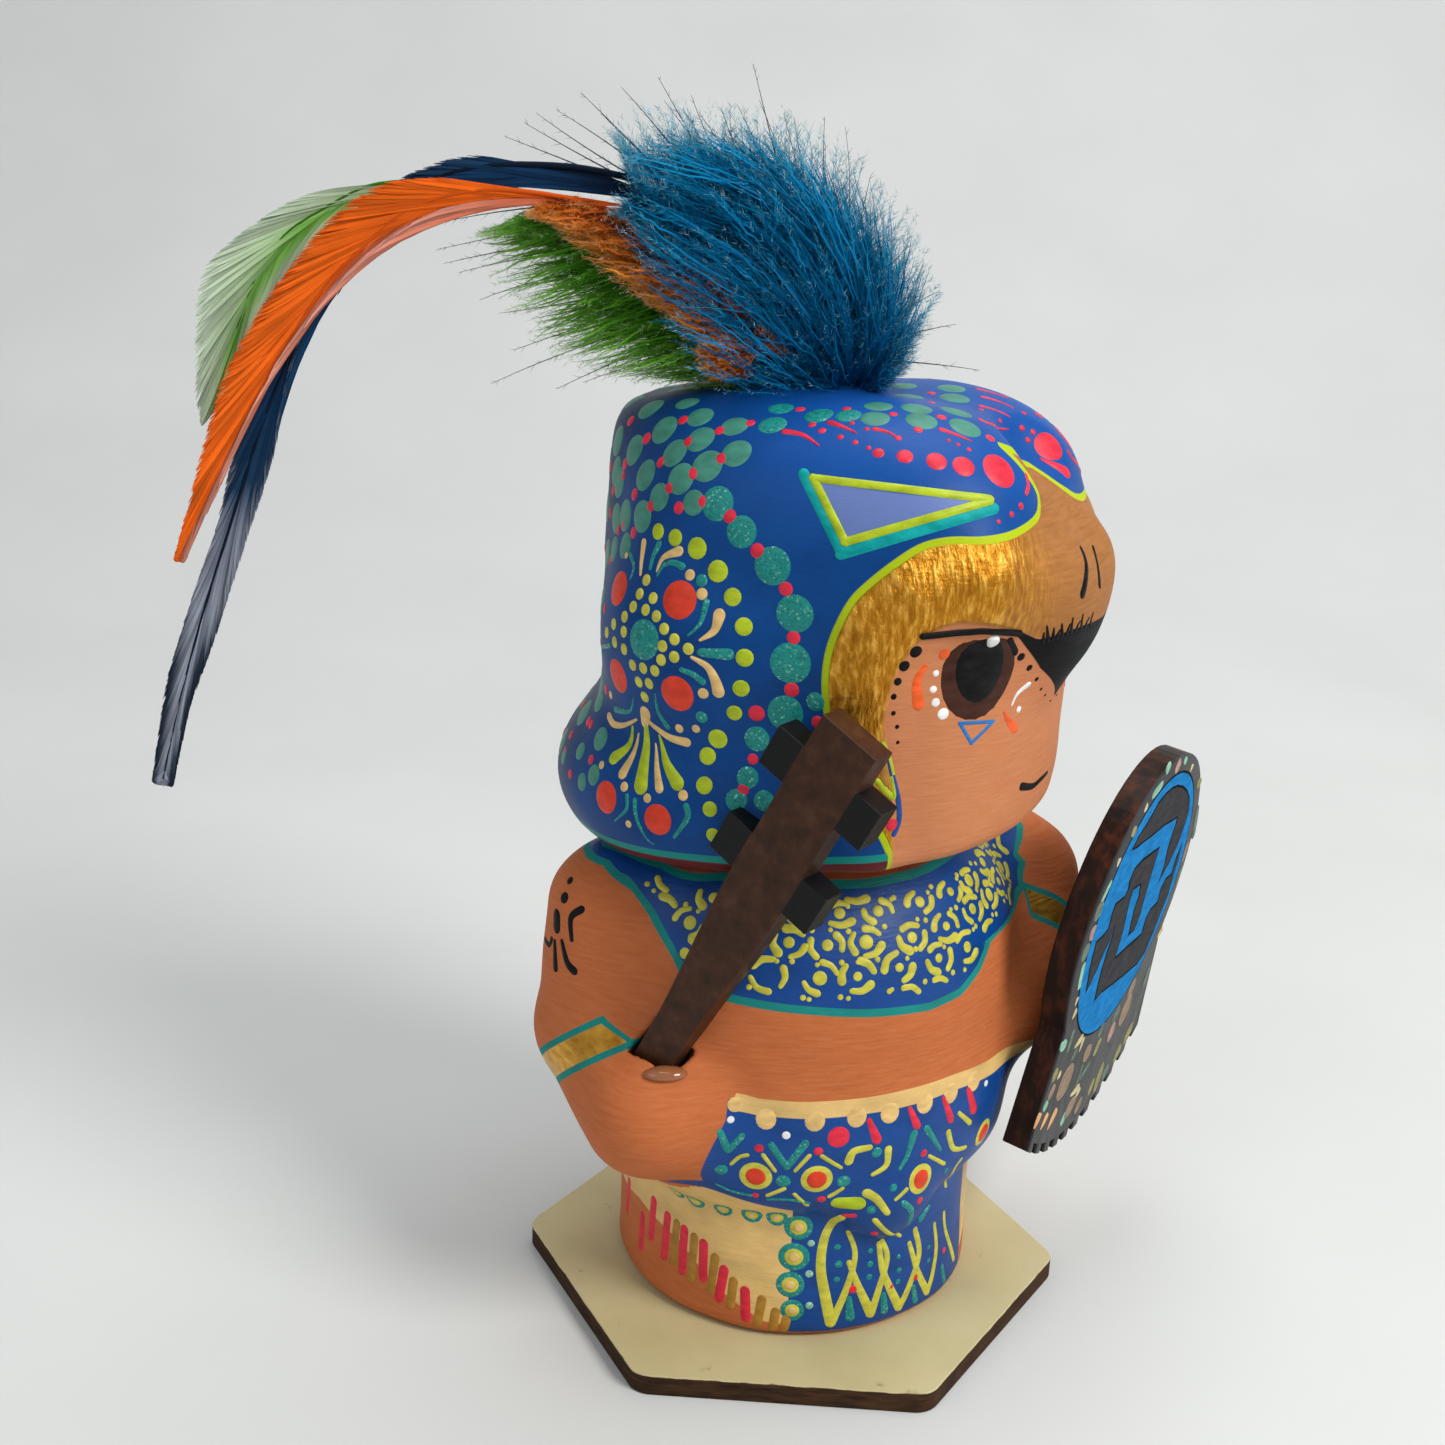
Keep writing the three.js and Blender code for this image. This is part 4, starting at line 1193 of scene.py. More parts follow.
def stroke_mesh(mark, control, form):
    w0, w1 = mark["w"]
    widest = max(w0, w1)
    path, at = along(control, max(0.28, widest * 0.5))
    length = at[-1]
    normal = normals_of(form, path)
    tangent = np.gradient(path, axis=0)
    side = np.cross(tangent, normal)
    side /= np.maximum(np.linalg.norm(side, axis=1, keepdims=True), 1e-9)
    tangent /= np.maximum(np.linalg.norm(tangent, axis=1, keepdims=True), 1e-9)
    caps = [(1 - c, math.sqrt(1 - (1 - c) ** 2)) for c in CAP_SHARES]
    rows = [(path[0] - tangent[0] * w0 * out, side[0], w0 * share) for out, share in caps]
    rows += [(path[i], side[i], w0 + (w1 - w0) * at[i] / length) for i in range(len(path))]
    rows += [(path[-1] + tangent[-1] * w1 * out, side[-1], w1 * share) for out, share in reversed(caps)]
    points, lifts, faces = [], [], []
    for place, across, width in rows:
        low = 0.0 if width > 0.05 else -0.6
        for share, lift in STROKE_SECTION:
            points.append(place + across * (share * max(width, 0.02)))
            lifts.append(lift + low * 1.2)
    wide = len(STROKE_SECTION)
    for i in range(len(rows) - 1):
        for k in range(wide - 1):
            a = i * wide + k
            faces.append((a, a + 1, a + 1 + wide, a + wide))
    return points, lifts, faces


def lay_paint():
    """Meets every mark with its carrier: the points and faces of each paint."""
    built = {}
    for carrier, form in CARRIERS.items():
        mine = [m for m in marks if m["carrier"] == carrier]
        places, met = meet(form, np.concatenate([m["rays"] for m in mine]))
        normals = normals_of(form, places)
        at = 0
        by_tone = {}
        for m in mine:
            here = slice(at, at + len(m["rays"]))
            at = here.stop
            control = places[here]
            if not met[here].all() or (m["keep"] is not None and not m["keep"](control).all()):
                continue
            if "r" in m:
                points, lifts, faces = dot_mesh(m, control[0], normals[here][0])
            else:
                points, lifts, faces = stroke_mesh(m, control, form)
            height = np.array(lifts) * PAINT_HEIGHT + m["layer"] * LAYER_HEIGHT * (np.array(lifts) > 0)
            off_middle = abs(to_head(control.mean(0))[0]) >= MIDDLE
            mirrored = m["mirrored"] and carrier == "head" and off_middle
            by_tone.setdefault(m["tone"], []).append((np.array(points), height, faces, mirrored))
        for tone, group in by_tone.items():
            points = settle(form, np.concatenate([g[0] for g in group]))
            points = points + normals_of(form, points) * np.concatenate([g[1] for g in group])[:, None]
            start = 0
            store = built.setdefault(tone, ([], []))
            for raw, _, faces, mirrored in group:
                here = points[start:start + len(raw)]
                start += len(raw)
                base = sum(len(p) for p in store[0])
                store[0].append(here)
                store[1].extend([tuple(base + v for v in face) for face in faces])
                if mirrored:
                    base += len(here)
                    store[0].append(from_head(to_head(here) * [-1, 1, 1]))
                    store[1].extend([tuple(base + v for v in reversed(face)) for face in faces])
    return built


def painted_pieces():
    for tone, (points, faces) in lay_paint().items():
        name = "paint_" + tone
        look = (0.5, False, 0.1) if tone in MATT else (0.42, tone in GLITTERY, 0.3)
        new_piece(name, np.concatenate(points), faces, paint(name, TONES[tone], *look))


def rings(rays, radii):
    """Turquoise rings with a pale middle."""
    for ray, r in zip(rays, radii):
        for layer, (tone, share) in enumerate((("teal", 1), ("yellow", 0.62), ("cream", 0.36))):
            dots(tone, r * share, ray[None], "body", layer=2 * layer)


def eye():
    """A painted eye on each side of the face."""
    dots("brown", 5.5, seen_at((978.7, 674.4)), "head", tall=1.1, layer=1, angle=-6)
    dots("black", 3.7, seen_at((979.5, 667)), "head", tall=1.3, layer=4)


# The bib's rosettes: rows by height, and places aimed at one height inside the body
BIB_ROWS_FROM = 51.0
BIB_ROWS_TO = 76
BIB_ROW = 5.3
BIB_STEP = 6.3
BIB_R = 31
BIB_AIM = 47
BIB_PLAIN = 105


def bib_paint():
    """Loose rosettes of dots and commas over the blue bib, which is the same all round."""
    chance = np.random.default_rng(7)

    def inside(points):
        found = body_regions(points)
        return (found["bib"] > 1.2) & (found["neck"] < -0.9)

    for row, height in enumerate(np.arange(BIB_ROWS_FROM, BIB_ROWS_TO, BIB_ROW)):
        reach = max(BIB_R * math.cos(math.atan2(height - BIB_AIM, BIB_R)), 18)
        step = math.degrees(BIB_STEP / reach)
        for turn in np.arange(-178 + (row % 2) * step / 2, 178, step):
            turn = turn + chance.uniform(-0.15, 0.15) * step
            z = height + chance.uniform(-0.5, 0.5)

            def placed(*offsets):
                """Rays at places across and up from the rosette's middle."""
                where = [(turn + math.degrees(du / reach), BIB_AIM + (z + dv - BIB_AIM) * RAY_FROM / BIB_R)
                         for du, dv in offsets]
                return round_body(*where, aim=BIB_AIM)

            dots("yellow", chance.choice([0.65, 0.8, 1.0]), placed((0, 0)), "body", keep=inside)
            start = chance.uniform(0, 360)
            arcs = 2 if abs(turn) > BIB_PLAIN else chance.integers(2, 4)
            for n in range(arcs):
                middle = start + n * 360 / arcs
                spread = chance.uniform(28, 42)
                far = chance.uniform(2.15, 2.5)
                bend = np.radians([middle - spread, middle, middle + spread])
                route = placed(*zip(far * np.cos(bend), far * np.sin(bend)))
                w0, w1 = chance.uniform(0.35, 0.5), chance.uniform(0.45, 0.7)
                stroke("yellow", w0, w1, route, "body", keep=inside)
            dots("yellow", 0.42, placed((3.1, 2.4)), "body", keep=inside)
            dots("yellow", 0.36, placed((-1.4, -3.2)), "body", keep=inside)


# Paint by pixels of the photograph: a dot's radius and places, a stroke's half-widths and paths
HELMET_DOTS = {
    "sea": (
        (1.7, (687.3, 402.7), (693.3, 502.6), (633.9, 401), (600.3, 738.8)),
        (1.8, (625.3, 545.7), (614.1, 549.1)),
        (1.9, (658.9, 496.9), (700.2, 416.5), (734.7, 426), (599.5, 699.2)),
        (2.1, (619.3, 482.8), (674.4, 452.7), (700.2, 438.9), (650.3, 407.9), (736.4, 452.7)),
        (2.2, (617.6, 440.6), (633.9, 450.1), (645.1, 475), (625.3, 515.5), (641.7, 516.4), (680.4, 478.5),
         (664, 429.4)),
        (2.3, (707.1, 465.6)),
        (1.5, (593.4, 775)),
        (1.3, (582.6, 711.8), (580.4, 751), (563.7, 756), (581.8, 782)),
    ),
    "teal": (
        (1.7, (781.1, 408.2), (848.3, 415.1), (757, 738.8)),
        (1.9, (772.5, 424.8), (819, 415.1)),
        (2.1, (741.5, 531.9)),
        (2.3, (717.4, 503.5)),
        (2.5, (772.5, 566), (794.9, 613.7)),
        (0.85, (701.6, 717.3), (701.6, 580.4)),
        (1.3, (815.6, 701.8)),
        (1.4, (763.9, 800.8)),
        (1.5, (747.6, 777.6), (736.4, 800)),
        (2.4, (785.5, 713)),
        (2.7, (790.6, 663.1)),
        (2.75, (643.4, 639.8)),
    ),
    "red": (
        (0.6, (846.6, 408.7)),
        (0.7, (618.4, 530.2), (613.2, 490.5), (750.2, 423), (800.1, 409.3), (590.9, 724.2), (590.9, 759.5),
         (571, 735), (570.2, 774)),
        (0.8, (630.5, 420.8), (650.6, 506), (633.4, 532.7), (660.6, 462.1), (669.2, 488), (683, 419.9),
         (720, 430.3), (743.3, 789.3)),
        (0.85, (625, 463.9), (634.3, 494.3), (678.7, 507.8), (701.6, 501.7)),
        (0.9, (646.5, 438.5), (693, 473.3), (689, 441.5), (720.9, 458.7), (793.5, 637.7), (817.8, 722.5)),
        (0.95, (729.5, 516), (785.8, 589)),
        (1.0, (757.4, 550.8), (791.5, 689.7)),
        (0.75, (752.7, 759.1)),
        (1.1, (756.5, 713.3)),
    ),
    "scarlet": (
        (2.4, (618.1, 588.4), (617.6, 676)),
        (2.55, (679.2, 599.9)),
        (2.15, (657.5, 819.8)),
        (2.3, (605.5, 797.4)),
        (2.5, (676.6, 694)),
    ),
    "lime": (
        (1.1, (658, 531.5)),
        (1.15, (675.2, 537.6), (741, 688.4)),
        (1.2, (732.6, 597), (743.8, 626.6), (744.6, 657.9), (707.6, 756), (704.2, 785.3)),
        (1.45, (697.1, 548.2), (717.8, 571.1)),
        (1.0, (713.1, 835.3)),
        (1.05, (734.3, 713), (709.7, 809.1)),
        (1.35, (717.8, 738.8)),
    ),
    "yellow": (
        (0.8, (646.3, 580), (639.6, 593.8), (653, 598.1), (645.5, 609.8), (633.1, 606.7), (656.3, 616.2),
         (624.4, 616.7), (664, 628.8), (613.6, 624), (623.6, 631.7), (606.7, 632.4), (674.4, 639.3),
         (662.3, 646.2), (614.5, 642), (623.9, 649.3), (688.2, 648.9), (674, 657), (660.9, 660),
         (632.5, 665.1), (642.9, 668.2), (654.6, 670.8), (638.6, 682), (648.9, 683.7), (644.6, 697)),
    ),
    "cream": (
        (0.5, (626.5, 555.1)),
        (0.75, (689.9, 574.9), (703.1, 693.5), (683, 795.3)),
        (0.8, (701.9, 593.9)),
        (0.55, (628.4, 824.1)),
        (0.6, (695.9, 728.8), (610.7, 694.9), (601.5, 765)),
        (0.65, (679.2, 728.5), (647.2, 798.2)),
        (0.7, (624.1, 786.7)),
    ),
}
HELMET_STROKES = {
    "cream": (
        (0.25, 0.6, ((640.5, 574.1), (641.7, 559.4), (643.7, 543.1))),
        (0.15, 0.7, ((656.8, 571.1), (663.2, 557.7), (678.7, 551.2)),
         ((655.8, 744), (656.8, 766.4), (659.2, 787.9))),
        (0.2, 0.85, ((700.2, 640), (714, 630.9), (719.2, 615.4))),
        (0.25, 0.85, ((691.9, 657.5), (707.1, 666.5), (714.8, 679.4), (718.3, 691.5))),
        (1.05, 0.8, ((645.1, 713.9), (644.8, 721.6))),
        (0.3, 0.65, ((648.6, 721.6), (658.9, 730.2), (670.9, 738), (686.4, 742.3))),
        (0.2, 0.6, ((636.5, 719.5), (624.4, 725), (614.1, 724.2), (609.3, 716.4))),
        (0.15, 0.8, ((638.7, 733.7), (633.1, 754.3), (622.7, 773.3))),
    ),
    "lime": (
        (0.45, 1.2, ((646, 726.8), (644.8, 757.8), (640.8, 785.3))),
        (0.2, 0.95, ((632.7, 726.8), (628.7, 745.7), (614.1, 757.8))),
        (0.15, 1.05, ((659.4, 735.4), (665.8, 761.2), (677, 782.7))),
    ),
    "teal": (
        (0.3, 0.5, ((650.3, 568), (653.4, 556), (658.9, 544.3))),
        (0.2, 0.5, ((657.5, 574.9), (663.2, 565.5), (672.7, 562.5), (682.1, 566.3))),
        (0.2, 0.35, ((630.5, 578.7), (633.9, 566.3), (630.5, 554.3)),
         ((602.9, 654.4), (602.1, 647.6), (609.8, 645.8))),
        (0.15, 0.5, ((688.2, 635.2), (700.2, 623.1), (706.2, 602.5))),
        (0.55, 0.8, ((701.1, 652.4), (727.8, 654.4))),
        (0.35, 0.5, ((681.6, 669.9), (693.3, 674.8), (702.3, 681.6))),
        (0.15, 0.45, ((655.1, 694), (658, 711.3), (667.5, 726.8))),
        (0.1, 0.5, ((633.9, 697.5), (629.6, 711.3), (615.8, 709.5))),
        (0.35, 0.15, ((627, 795.7), (626.2, 809.4), (615, 820.6))),
        (0.4, 0.1, ((634.8, 800.8), (636.5, 818), (646.8, 838.7), (653.7, 843.9))),
        (0.5, 0.25, ((686.4, 806.8), (687.3, 818), (674.4, 837))),
    ),
}
CROWN_STROKES = {
    "red": (
        (0.35, 0.35, ((1026.1, 475.5), (1028.4, 484.4), (1026.4, 493.4))),
    ),
}
CROWN_DOTS = {
    "red": (
        (0.3, (998.6, 521.6), (948.8, 440.3), (958.1, 444.6)),
        (0.35, (868.6, 447.9), (866.9, 429), (969.1, 449.6)),
        (0.4, (855.3, 442.3), (1011.8, 514.3), (852, 423.1), (981.3, 409.8), (1000.2, 420.7)),
        (0.45, (840.4, 437), (898.4, 438)),
        (0.5, (1021.1, 506)),
        (0.55, (812.2, 424.7), (822.1, 430.7)),
        (0.6, (918.3, 429.7)),
        (0.7, (990.3, 438)),
        (0.75, (878.5, 452.9)),
        (1.05, (905, 456.2)),
        (1.35, (936.6, 461.2)),
        (1.5, (963.7, 466.2)),
        (2.5, (999.6, 470.2)),
    ),
}
FACE_DOTS = {
    "black": (
        (0.2, (1050.3, 700.6)),
        (0.23, (1045, 695)),
        (0.25, (897.8, 742.4)),
        (0.27, (1041, 689)),
        (0.3, (897.1, 726.8)),
        (0.33, (893.4, 713.2)),
        (0.36, (1036.7, 679.1)),
        (0.42, (893.8, 696.7)),
        (0.5, (1029.4, 667.8)),
        (0.55, (897.8, 681.7)),
        (0.6, (1021.1, 656.9)),
        (0.75, (904.4, 666.1)),
        (0.85, (916, 651.9)),
    ),
    "white": (
        (0.45, (935.9, 673.4)),
        (0.5, (933.2, 689.4), (1018.8, 709.3)),
        (0.6, (935.6, 702.6)),
        (0.8, (943.2, 713.9)),
    ),
    "orange": (
        (0.8, (944.2, 654.2)),
    ),
    "red": (
        (0.9, (892.4, 825)),
    ),
}
FACE_STROKES = {
    "black": (
        (0.5, 0.6, ((1009.8, 640.3), (1014.5, 651.9))),
    ),
    "white": (
        (0.15, 0.5, ((1011.8, 704.9), (1017.8, 693.3), (1027.8, 685))),
    ),
    "orange": (
        (0.45, 0.9, ((924.9, 666.8), (916.7, 681.7), (918.3, 703.3))),
        (0.3, 0.8, ((1004.5, 713.2), (1008.5, 721.5), (1014.5, 728.2))),
    ),
    "sky": (
        (0.27, 0.27, ((959.8, 723.2), (976.4, 722.5), (992.9, 721.5)), ((992.9, 721.5), (971.4, 743.1)),
         ((971.4, 743.1), (959.8, 723.2))),
    ),
    "lime": (
        (0.4, 0.4, ((883.2, 744.7), (890.1, 764.6), (894.4, 797.1), (877.2, 781.2))),
    ),
    "ochre": (
        (0.7, 0.7, ((883.2, 763), (886.1, 781.2))),
    ),
    "blue": (
        (0.4, 0.4, ((889, 762), (894, 782), (898.5, 802), (899, 820), (894, 834))),
    ),
}
FACE_ONE_SIDE_STROKES = {
    "black": (
        (0.62, 0.3, ((1021.5, 786.5), (1033, 786), (1042, 778), (1047, 772.5))),
        (0.45, 0.75, ((1081.5, 549), (1086, 562), (1086, 578), (1083, 593))),
        (0.28, 0.6, ((1093, 547), (1096.5, 560), (1098.5, 572), (1099.5, 584))),
    ),
}
SHOULDER_DOTS = {
    "black": (
        (0.6, (570, 880.5)),
        (0.85, (564.3, 897.7)),
    ),
}
SHOULDER_STROKES = {
    "black": (
        (1.0, 1.0, ((556.6, 916.1), (556.6, 926.4))),
        (0.4, 0.5, ((550.5, 885.5), (549, 898.9), (549.7, 912.3))),
        (0.6, 0.4, ((581.1, 909.6), (570.8, 918), (571.6, 939.1))),
        (0.4, 0.6, ((554.7, 941.7), (555.5, 967.8))),
        (0.4, 0.7, ((562, 941.7), (567, 962), (573.5, 970.4))),
        (0.42, 0.42, ((545.2, 939.1), (549, 944.8), (551.7, 939.1))),
    ),
}
GARMENT_DOTS = {
    "yellow": (
        (2.2, (982.9, 1132.3)),
        (2.3, (816.8, 1179.4), (920.9, 1179)),
        (2.35, (755.6, 1176.3)),
    ),
    "lime": (
        (1.1, (842.5, 1203.1), (854, 1203.1)),
    ),
    "red": (
        (0.5, (755.6, 1195.4)),
        (0.6, (924, 1153.3), (919.8, 1200.4), (874.2, 1233.7)),
        (0.65, (759.1, 1148.4), (818.4, 1151.4), (821.4, 1199.3)),
        (1.6, (838.7, 1137.3)),
    ),
    "white": (
        (0.5, (986, 1083.3)),
        (0.55, (730.7, 1119.7)),
        (0.6, (786.2, 1135.4)),
    ),
    "teal": (
        (0.5, (945.8, 1170.6)),
        (0.6, (893.4, 1187.8)),
        (0.7, (871.2, 1210)),
        (0.8, (876.9, 1152.6)),
        (0.95, (721.2, 1169.8)),
        (1.0, (843.6, 1181.3)),
        (1.05, (783.2, 1181.3)),
    ),
    "cream": (
        (1.1, (735, 1104.5)),
    ),
}
GARMENT_STROKES = {
    "red": (
        (0.4, 0.75, ((869.3, 1120.8), (876.9, 1139.2))),
        (0.4, 0.65, ((910.2, 1109.3), (917.1, 1125.4)), ((943.9, 1097.9), (950.8, 1118.9))),
        (0.5, 0.8, ((968.8, 1090.2), (973.7, 1109.3))),
        (0.4, 0.4, ((844.4, 1215.7), (854, 1215.7))),
    ),
    "teal": (
        (0.5, 0.6, ((720, 1132.3), (727.7, 1149.5))),
        (0.5, 0.5, ((741.8, 1136.1), (728.8, 1150.3)),
         ((903.7, 1203.1), (911.4, 1210.7), (908.7, 1223.4))),
        (0.55, 0.5, ((771.7, 1145.7), (785.1, 1164.8))),
        (0.6, 0.5, ((805, 1143.8), (787, 1166.7))),
        (0.65, 0.3, ((914, 1134.2), (907.5, 1155.3), (899.9, 1168.7))),
        (0.55, 0.3, ((926.7, 1128.5), (940.1, 1149.5))),
        (0.2, 0.3, ((716.2, 1184), (729.6, 1190.5), (750.6, 1195.4))),
        (0.25, 0.35, ((767.9, 1199.3), (790.8, 1200), (808, 1203.1))),
        (0.4, 0.6, ((928.6, 1206.9), (920.9, 1218.4))),
    ),
    "yellow": (
        (0.5, 0.7, ((869.3, 1147.6), (854, 1151.4), (849, 1161))),
        (0.6, 0.35, ((888.4, 1149.5), (886.5, 1164.8), (873.1, 1174.4))),
        (0.75, 0.5, ((867.4, 1193.5), (876.9, 1199.3), (887.2, 1212.7))),
        (0.45, 0.3, ((875, 1220.3), (886.5, 1231.8), (899.9, 1235.6))),
        (0.3, 0.35, ((731.5, 1163.7), (739.2, 1157.2), (746.8, 1155.3)), ((795.4, 1170.6), (809.2, 1156)),
         ((794.6, 1194.3), (806.9, 1205)), ((929.3, 1156), (943.9, 1163.7)),
         ((896.1, 1199.3), (906.4, 1189.7)), ((961.1, 1159.1), (953.4, 1170.6), (945.8, 1185.9))),
        (0.35, 0.3, ((763.3, 1155.3), (774.7, 1170.6)), ((822.2, 1156.4), (840.6, 1167.5))),
        (0.35, 0.35, ((767.9, 1195.4), (783.9, 1188.9))),
        (0.4, 0.3, ((829.9, 1196.2), (842.5, 1188.6))),
        (0.5, 0.4, ((948.5, 1132.3), (953.4, 1148.4), (964.9, 1147.6))),
        (0.35, 0.45, ((959.2, 1113.2), (969.9, 1122.7))),
    ),
}
SKIRT_DOTS = {
    "mint": (
        (0.55, (811.1, 1243.3)),
        (0.6, (809.2, 1273.9), (809.2, 1305.6)),
    ),
    "teal": (
        (0.4, (898.7, 1256.7), (928.6, 1247.1), (928.6, 1260.5)),
        (0.45, (870.4, 1250.9), (898, 1281.5)),
        (0.5, (837.5, 1247.1), (836.7, 1279.6), (869.3, 1276.9), (899.1, 1270.1)),
        (0.55, (870, 1264.3)),
        (0.6, (838.7, 1264.3)),
    ),
    "red": (
        (0.5, (943.9, 1250.2)),
        (0.55, (890.3, 1287.3)),
        (0.6, (915.2, 1276.9)),
        (0.75, (852.8, 1289.2)),
    ),
}
SKIRT_STROKES = {
    "yellow": (
        (0.6, 0.9, ((841.7, 1217.2), (825.3, 1235.6), (820.7, 1266.2), (825.3, 1296.8), (830.6, 1321.7))),
        (0.35, 0.7, ((848.2, 1231.8), (855.1, 1254.8), (846.3, 1289.2), (832.1, 1321.7))),
        (0.4, 0.8, ((849, 1262.4), (857.8, 1285.4), (870.4, 1312.9)),
         ((878.8, 1243.3), (882.7, 1270.1), (890.3, 1289.2), (898.7, 1306.4))),
        (0.4, 0.7, ((881.9, 1240.2), (887.2, 1258.6), (878.8, 1289.2), (871.2, 1312.9)),
         ((909.4, 1243.3), (917.1, 1270.1), (926.7, 1291.1))),
        (0.5, 0.7, ((915.2, 1229.9), (919, 1254.8), (909.4, 1285.4), (899.5, 1306.4))),
        (0.35, 0.6, ((934.3, 1224.1), (936.2, 1247.1), (932.4, 1273.9), (927.4, 1291.1))),
        (0.35, 0.5, ((943.9, 1212.7), (945.8, 1231.8), (953.4, 1258.6))),
    ),
    "teal": (
        (0.45, 0.75, ((849, 1298.8), (850.1, 1316.7))),
        (0.45, 0.65, ((883.4, 1294.9), (884.6, 1310.2))),
        (0.45, 0.6, ((913.3, 1287.3), (915.2, 1299.9))),
        (0.4, 0.5, ((942, 1266.2), (943.9, 1280.8))),
    ),
    "red": (
        (0.8, 0.8, ((629.3, 1182), (627, 1208.8)), ((642.3, 1216.5), (640.8, 1245.2)),
         ((653.8, 1201.2), (651.1, 1235.6)), ((667.6, 1216.5), (663.8, 1254.8)),
         ((684.4, 1229.9), (681.8, 1270.1)), ((703.6, 1244), (702.8, 1276.9)),
         ((723.9, 1270.1), (718.9, 1297.6)), ((744.9, 1291.1), (745.7, 1316.7))),
    ),
    "ochre": (
        (0.75, 0.7, ((676.8, 1224.1), (673, 1262.4)), ((694.4, 1237.5), (691.3, 1277.7)),
         ((715.1, 1257.8), (710.5, 1289.2)), ((733.4, 1281.5), (730.4, 1304.5)),
         ((761.7, 1299.9), (757.1, 1323.6)), ((775.5, 1312.1), (772.5, 1327.5)),
         ((786.2, 1319), (783.9, 1328.2))),
    ),
}
ONE_SIDE_DOTS = {
    "red": (
        (0.45, (1022, 428), (1033, 432), (1028, 440), (1024, 413)),
        (0.6, (931.6, 393.2), (931.6, 402.5), (893.4, 414.1)),
        (0.7, (941.5, 417.1)),
    ),
    "sea": (
        (1.9, (903.4, 385.9), (878.5, 405.8), (875.2, 418.1)),
        (2.0, (951.5, 388.2)),
        (2.1, (908.4, 396.5), (916.7, 408.1), (921.6, 420.4), (954.8, 398.2)),
        (2.2, (956.5, 411.5), (965.4, 427)),
    ),
}
ONE_SIDE_STROKES = {
    "red": (
        (0.55, 0.12, ((785.7, 431.4), (802.2, 434.7), (818.8, 445.6))),
        (0.5, 0.12, ((830.4, 422.4), (842, 426.4), (856, 433))),
        (0.4, 0.1, ((983, 397), (1000, 402), (1013, 408)), ((981, 406), (998, 411), (1010, 417)),
         ((978, 389), (996, 394), (1009, 398)),
         ((875.2, 429), (888.5, 432.3), (898.4, 438.6)),
         ((980.7, 419.7), (992.9, 424.7), (1007.9, 429))),
        (0.45, 0.1, ((942.2, 429.7), (956.5, 434.7), (971.4, 441.3))),
        (0.2, 0.95, ((1041, 459), (1052, 464), (1066, 472))),
    ),
}
HIDDEN_GAP = 1.6
LATTICE_ROWS = (76.5, 119, 5.4)
LATTICE_TURN = 13
LATTICE_R = 2.1
RINGS_SPAN = (76, 242)
RINGS_TURN = 18
STRIPES_SPAN = (66, 240)
STRIPES_TURN = 9
LASHES_FROM = (1043, 642)
LASHES_RISE = 0.36
LASHES = (
    (1043, 9, 1), (1048, 14, -1), (1053, 10, 1), (1057, 7, 3), (1062, 11, 0), (1067, 9, 3), (1071, 14, 2),
    (1076, 9, 4), (1081, 14, 2), (1085, 9, 4), (1090, 12, 3),
)
IRISES = ((755.6, 1176.3), (816.8, 1179.4), (920.9, 1179), (982.9, 1132.3))
SCALLOPS = ((766, 1119), (815, 1121), (857, 1117), (890, 1113), (925, 1103), (951, 1093), (974, 1081))
CHAIN = (
    (676, 1191, 1.6), (695, 1200, 1.7), (723.1, 1208.5, 1.5), (751.8, 1214, 1.6), (777, 1217, 1.6),
    (798.5, 1227, 2.1), (793.9, 1256.7, 2.3), (790.1, 1284.6, 2.1), (792, 1310.2, 1.75),
)


def helmet_paint():
    lay_marks("head", HELMET_DOTS, HELMET_STROKES)
    for start, end in (((803.5, 474), (842, 553)), ((841, 554), (994, 508.5))):
        stroke("aqua", 0.75, 0.75, seen_at(*between(start, end)), "head")
    for start, end in (((813, 478), (990, 499)), ((813, 478), (845, 542)), ((845, 542), (990, 501))):
        stroke("lime", 0.55, 0.55, seen_at(*between(start, end)), "head", layer=1)
    lay_marks("head", CROWN_DOTS, CROWN_STROKES)
    lay_marks("head", ONE_SIDE_DOTS, ONE_SIDE_STROKES, mirrored=False)
    dots("red", 2.4, seen_at((1049, 446.5)), "head", mirrored=False, tall=0.9)


def off_arms(p):
    return (right_arm(p) > HIDDEN_GAP) & (left_arm(p) > HIDDEN_GAP)


def hidden_sides():
    """The back, which the photograph leaves out, in the same paints but plainer."""
    half = LATTICE_TURN / 2
    for row, height in enumerate(np.arange(*LATTICE_ROWS)):
        for turn in np.arange(180 - (row % 2) * half, 138 + abs(height - 97) * 0.25, -LATTICE_TURN):
            dots("sea", LATTICE_R, round_head((turn, height)), "head")
            dots("red", 0.75, round_head((turn - half, height)), "head")
    dots("sea", LATTICE_R, over_head((6, 20), (0, 25.5), (7, 27), (0, 16)), "head")
    half = RINGS_TURN / 2
    for k, turn in enumerate(range(*RINGS_SPAN, RINGS_TURN)):
        rings(round_body((turn, 31.5)), (2.2 if k % 2 else 1.5,))
        dots("teal", 0.8, round_body((turn + half, 33.6), (turn + half, 28.6)), "body", keep=off_arms)
        dots("mint", 0.6, round_body((turn + half, 31.2)), "body", keep=off_arms)
    half = STRIPES_TURN / 2
    for turn in range(*STRIPES_SPAN, STRIPES_TURN):
        dots("cream", 1.4, round_body((turn, 35.9)), "body", keep=off_arms)
        stroke("red", 0.8, 0.8, round_body((turn, 14.5), (turn, 19.5)), "body")
        stroke("ochre", 0.7, 0.7, round_body((turn + half, 12.5), (turn + half, 16)), "body")


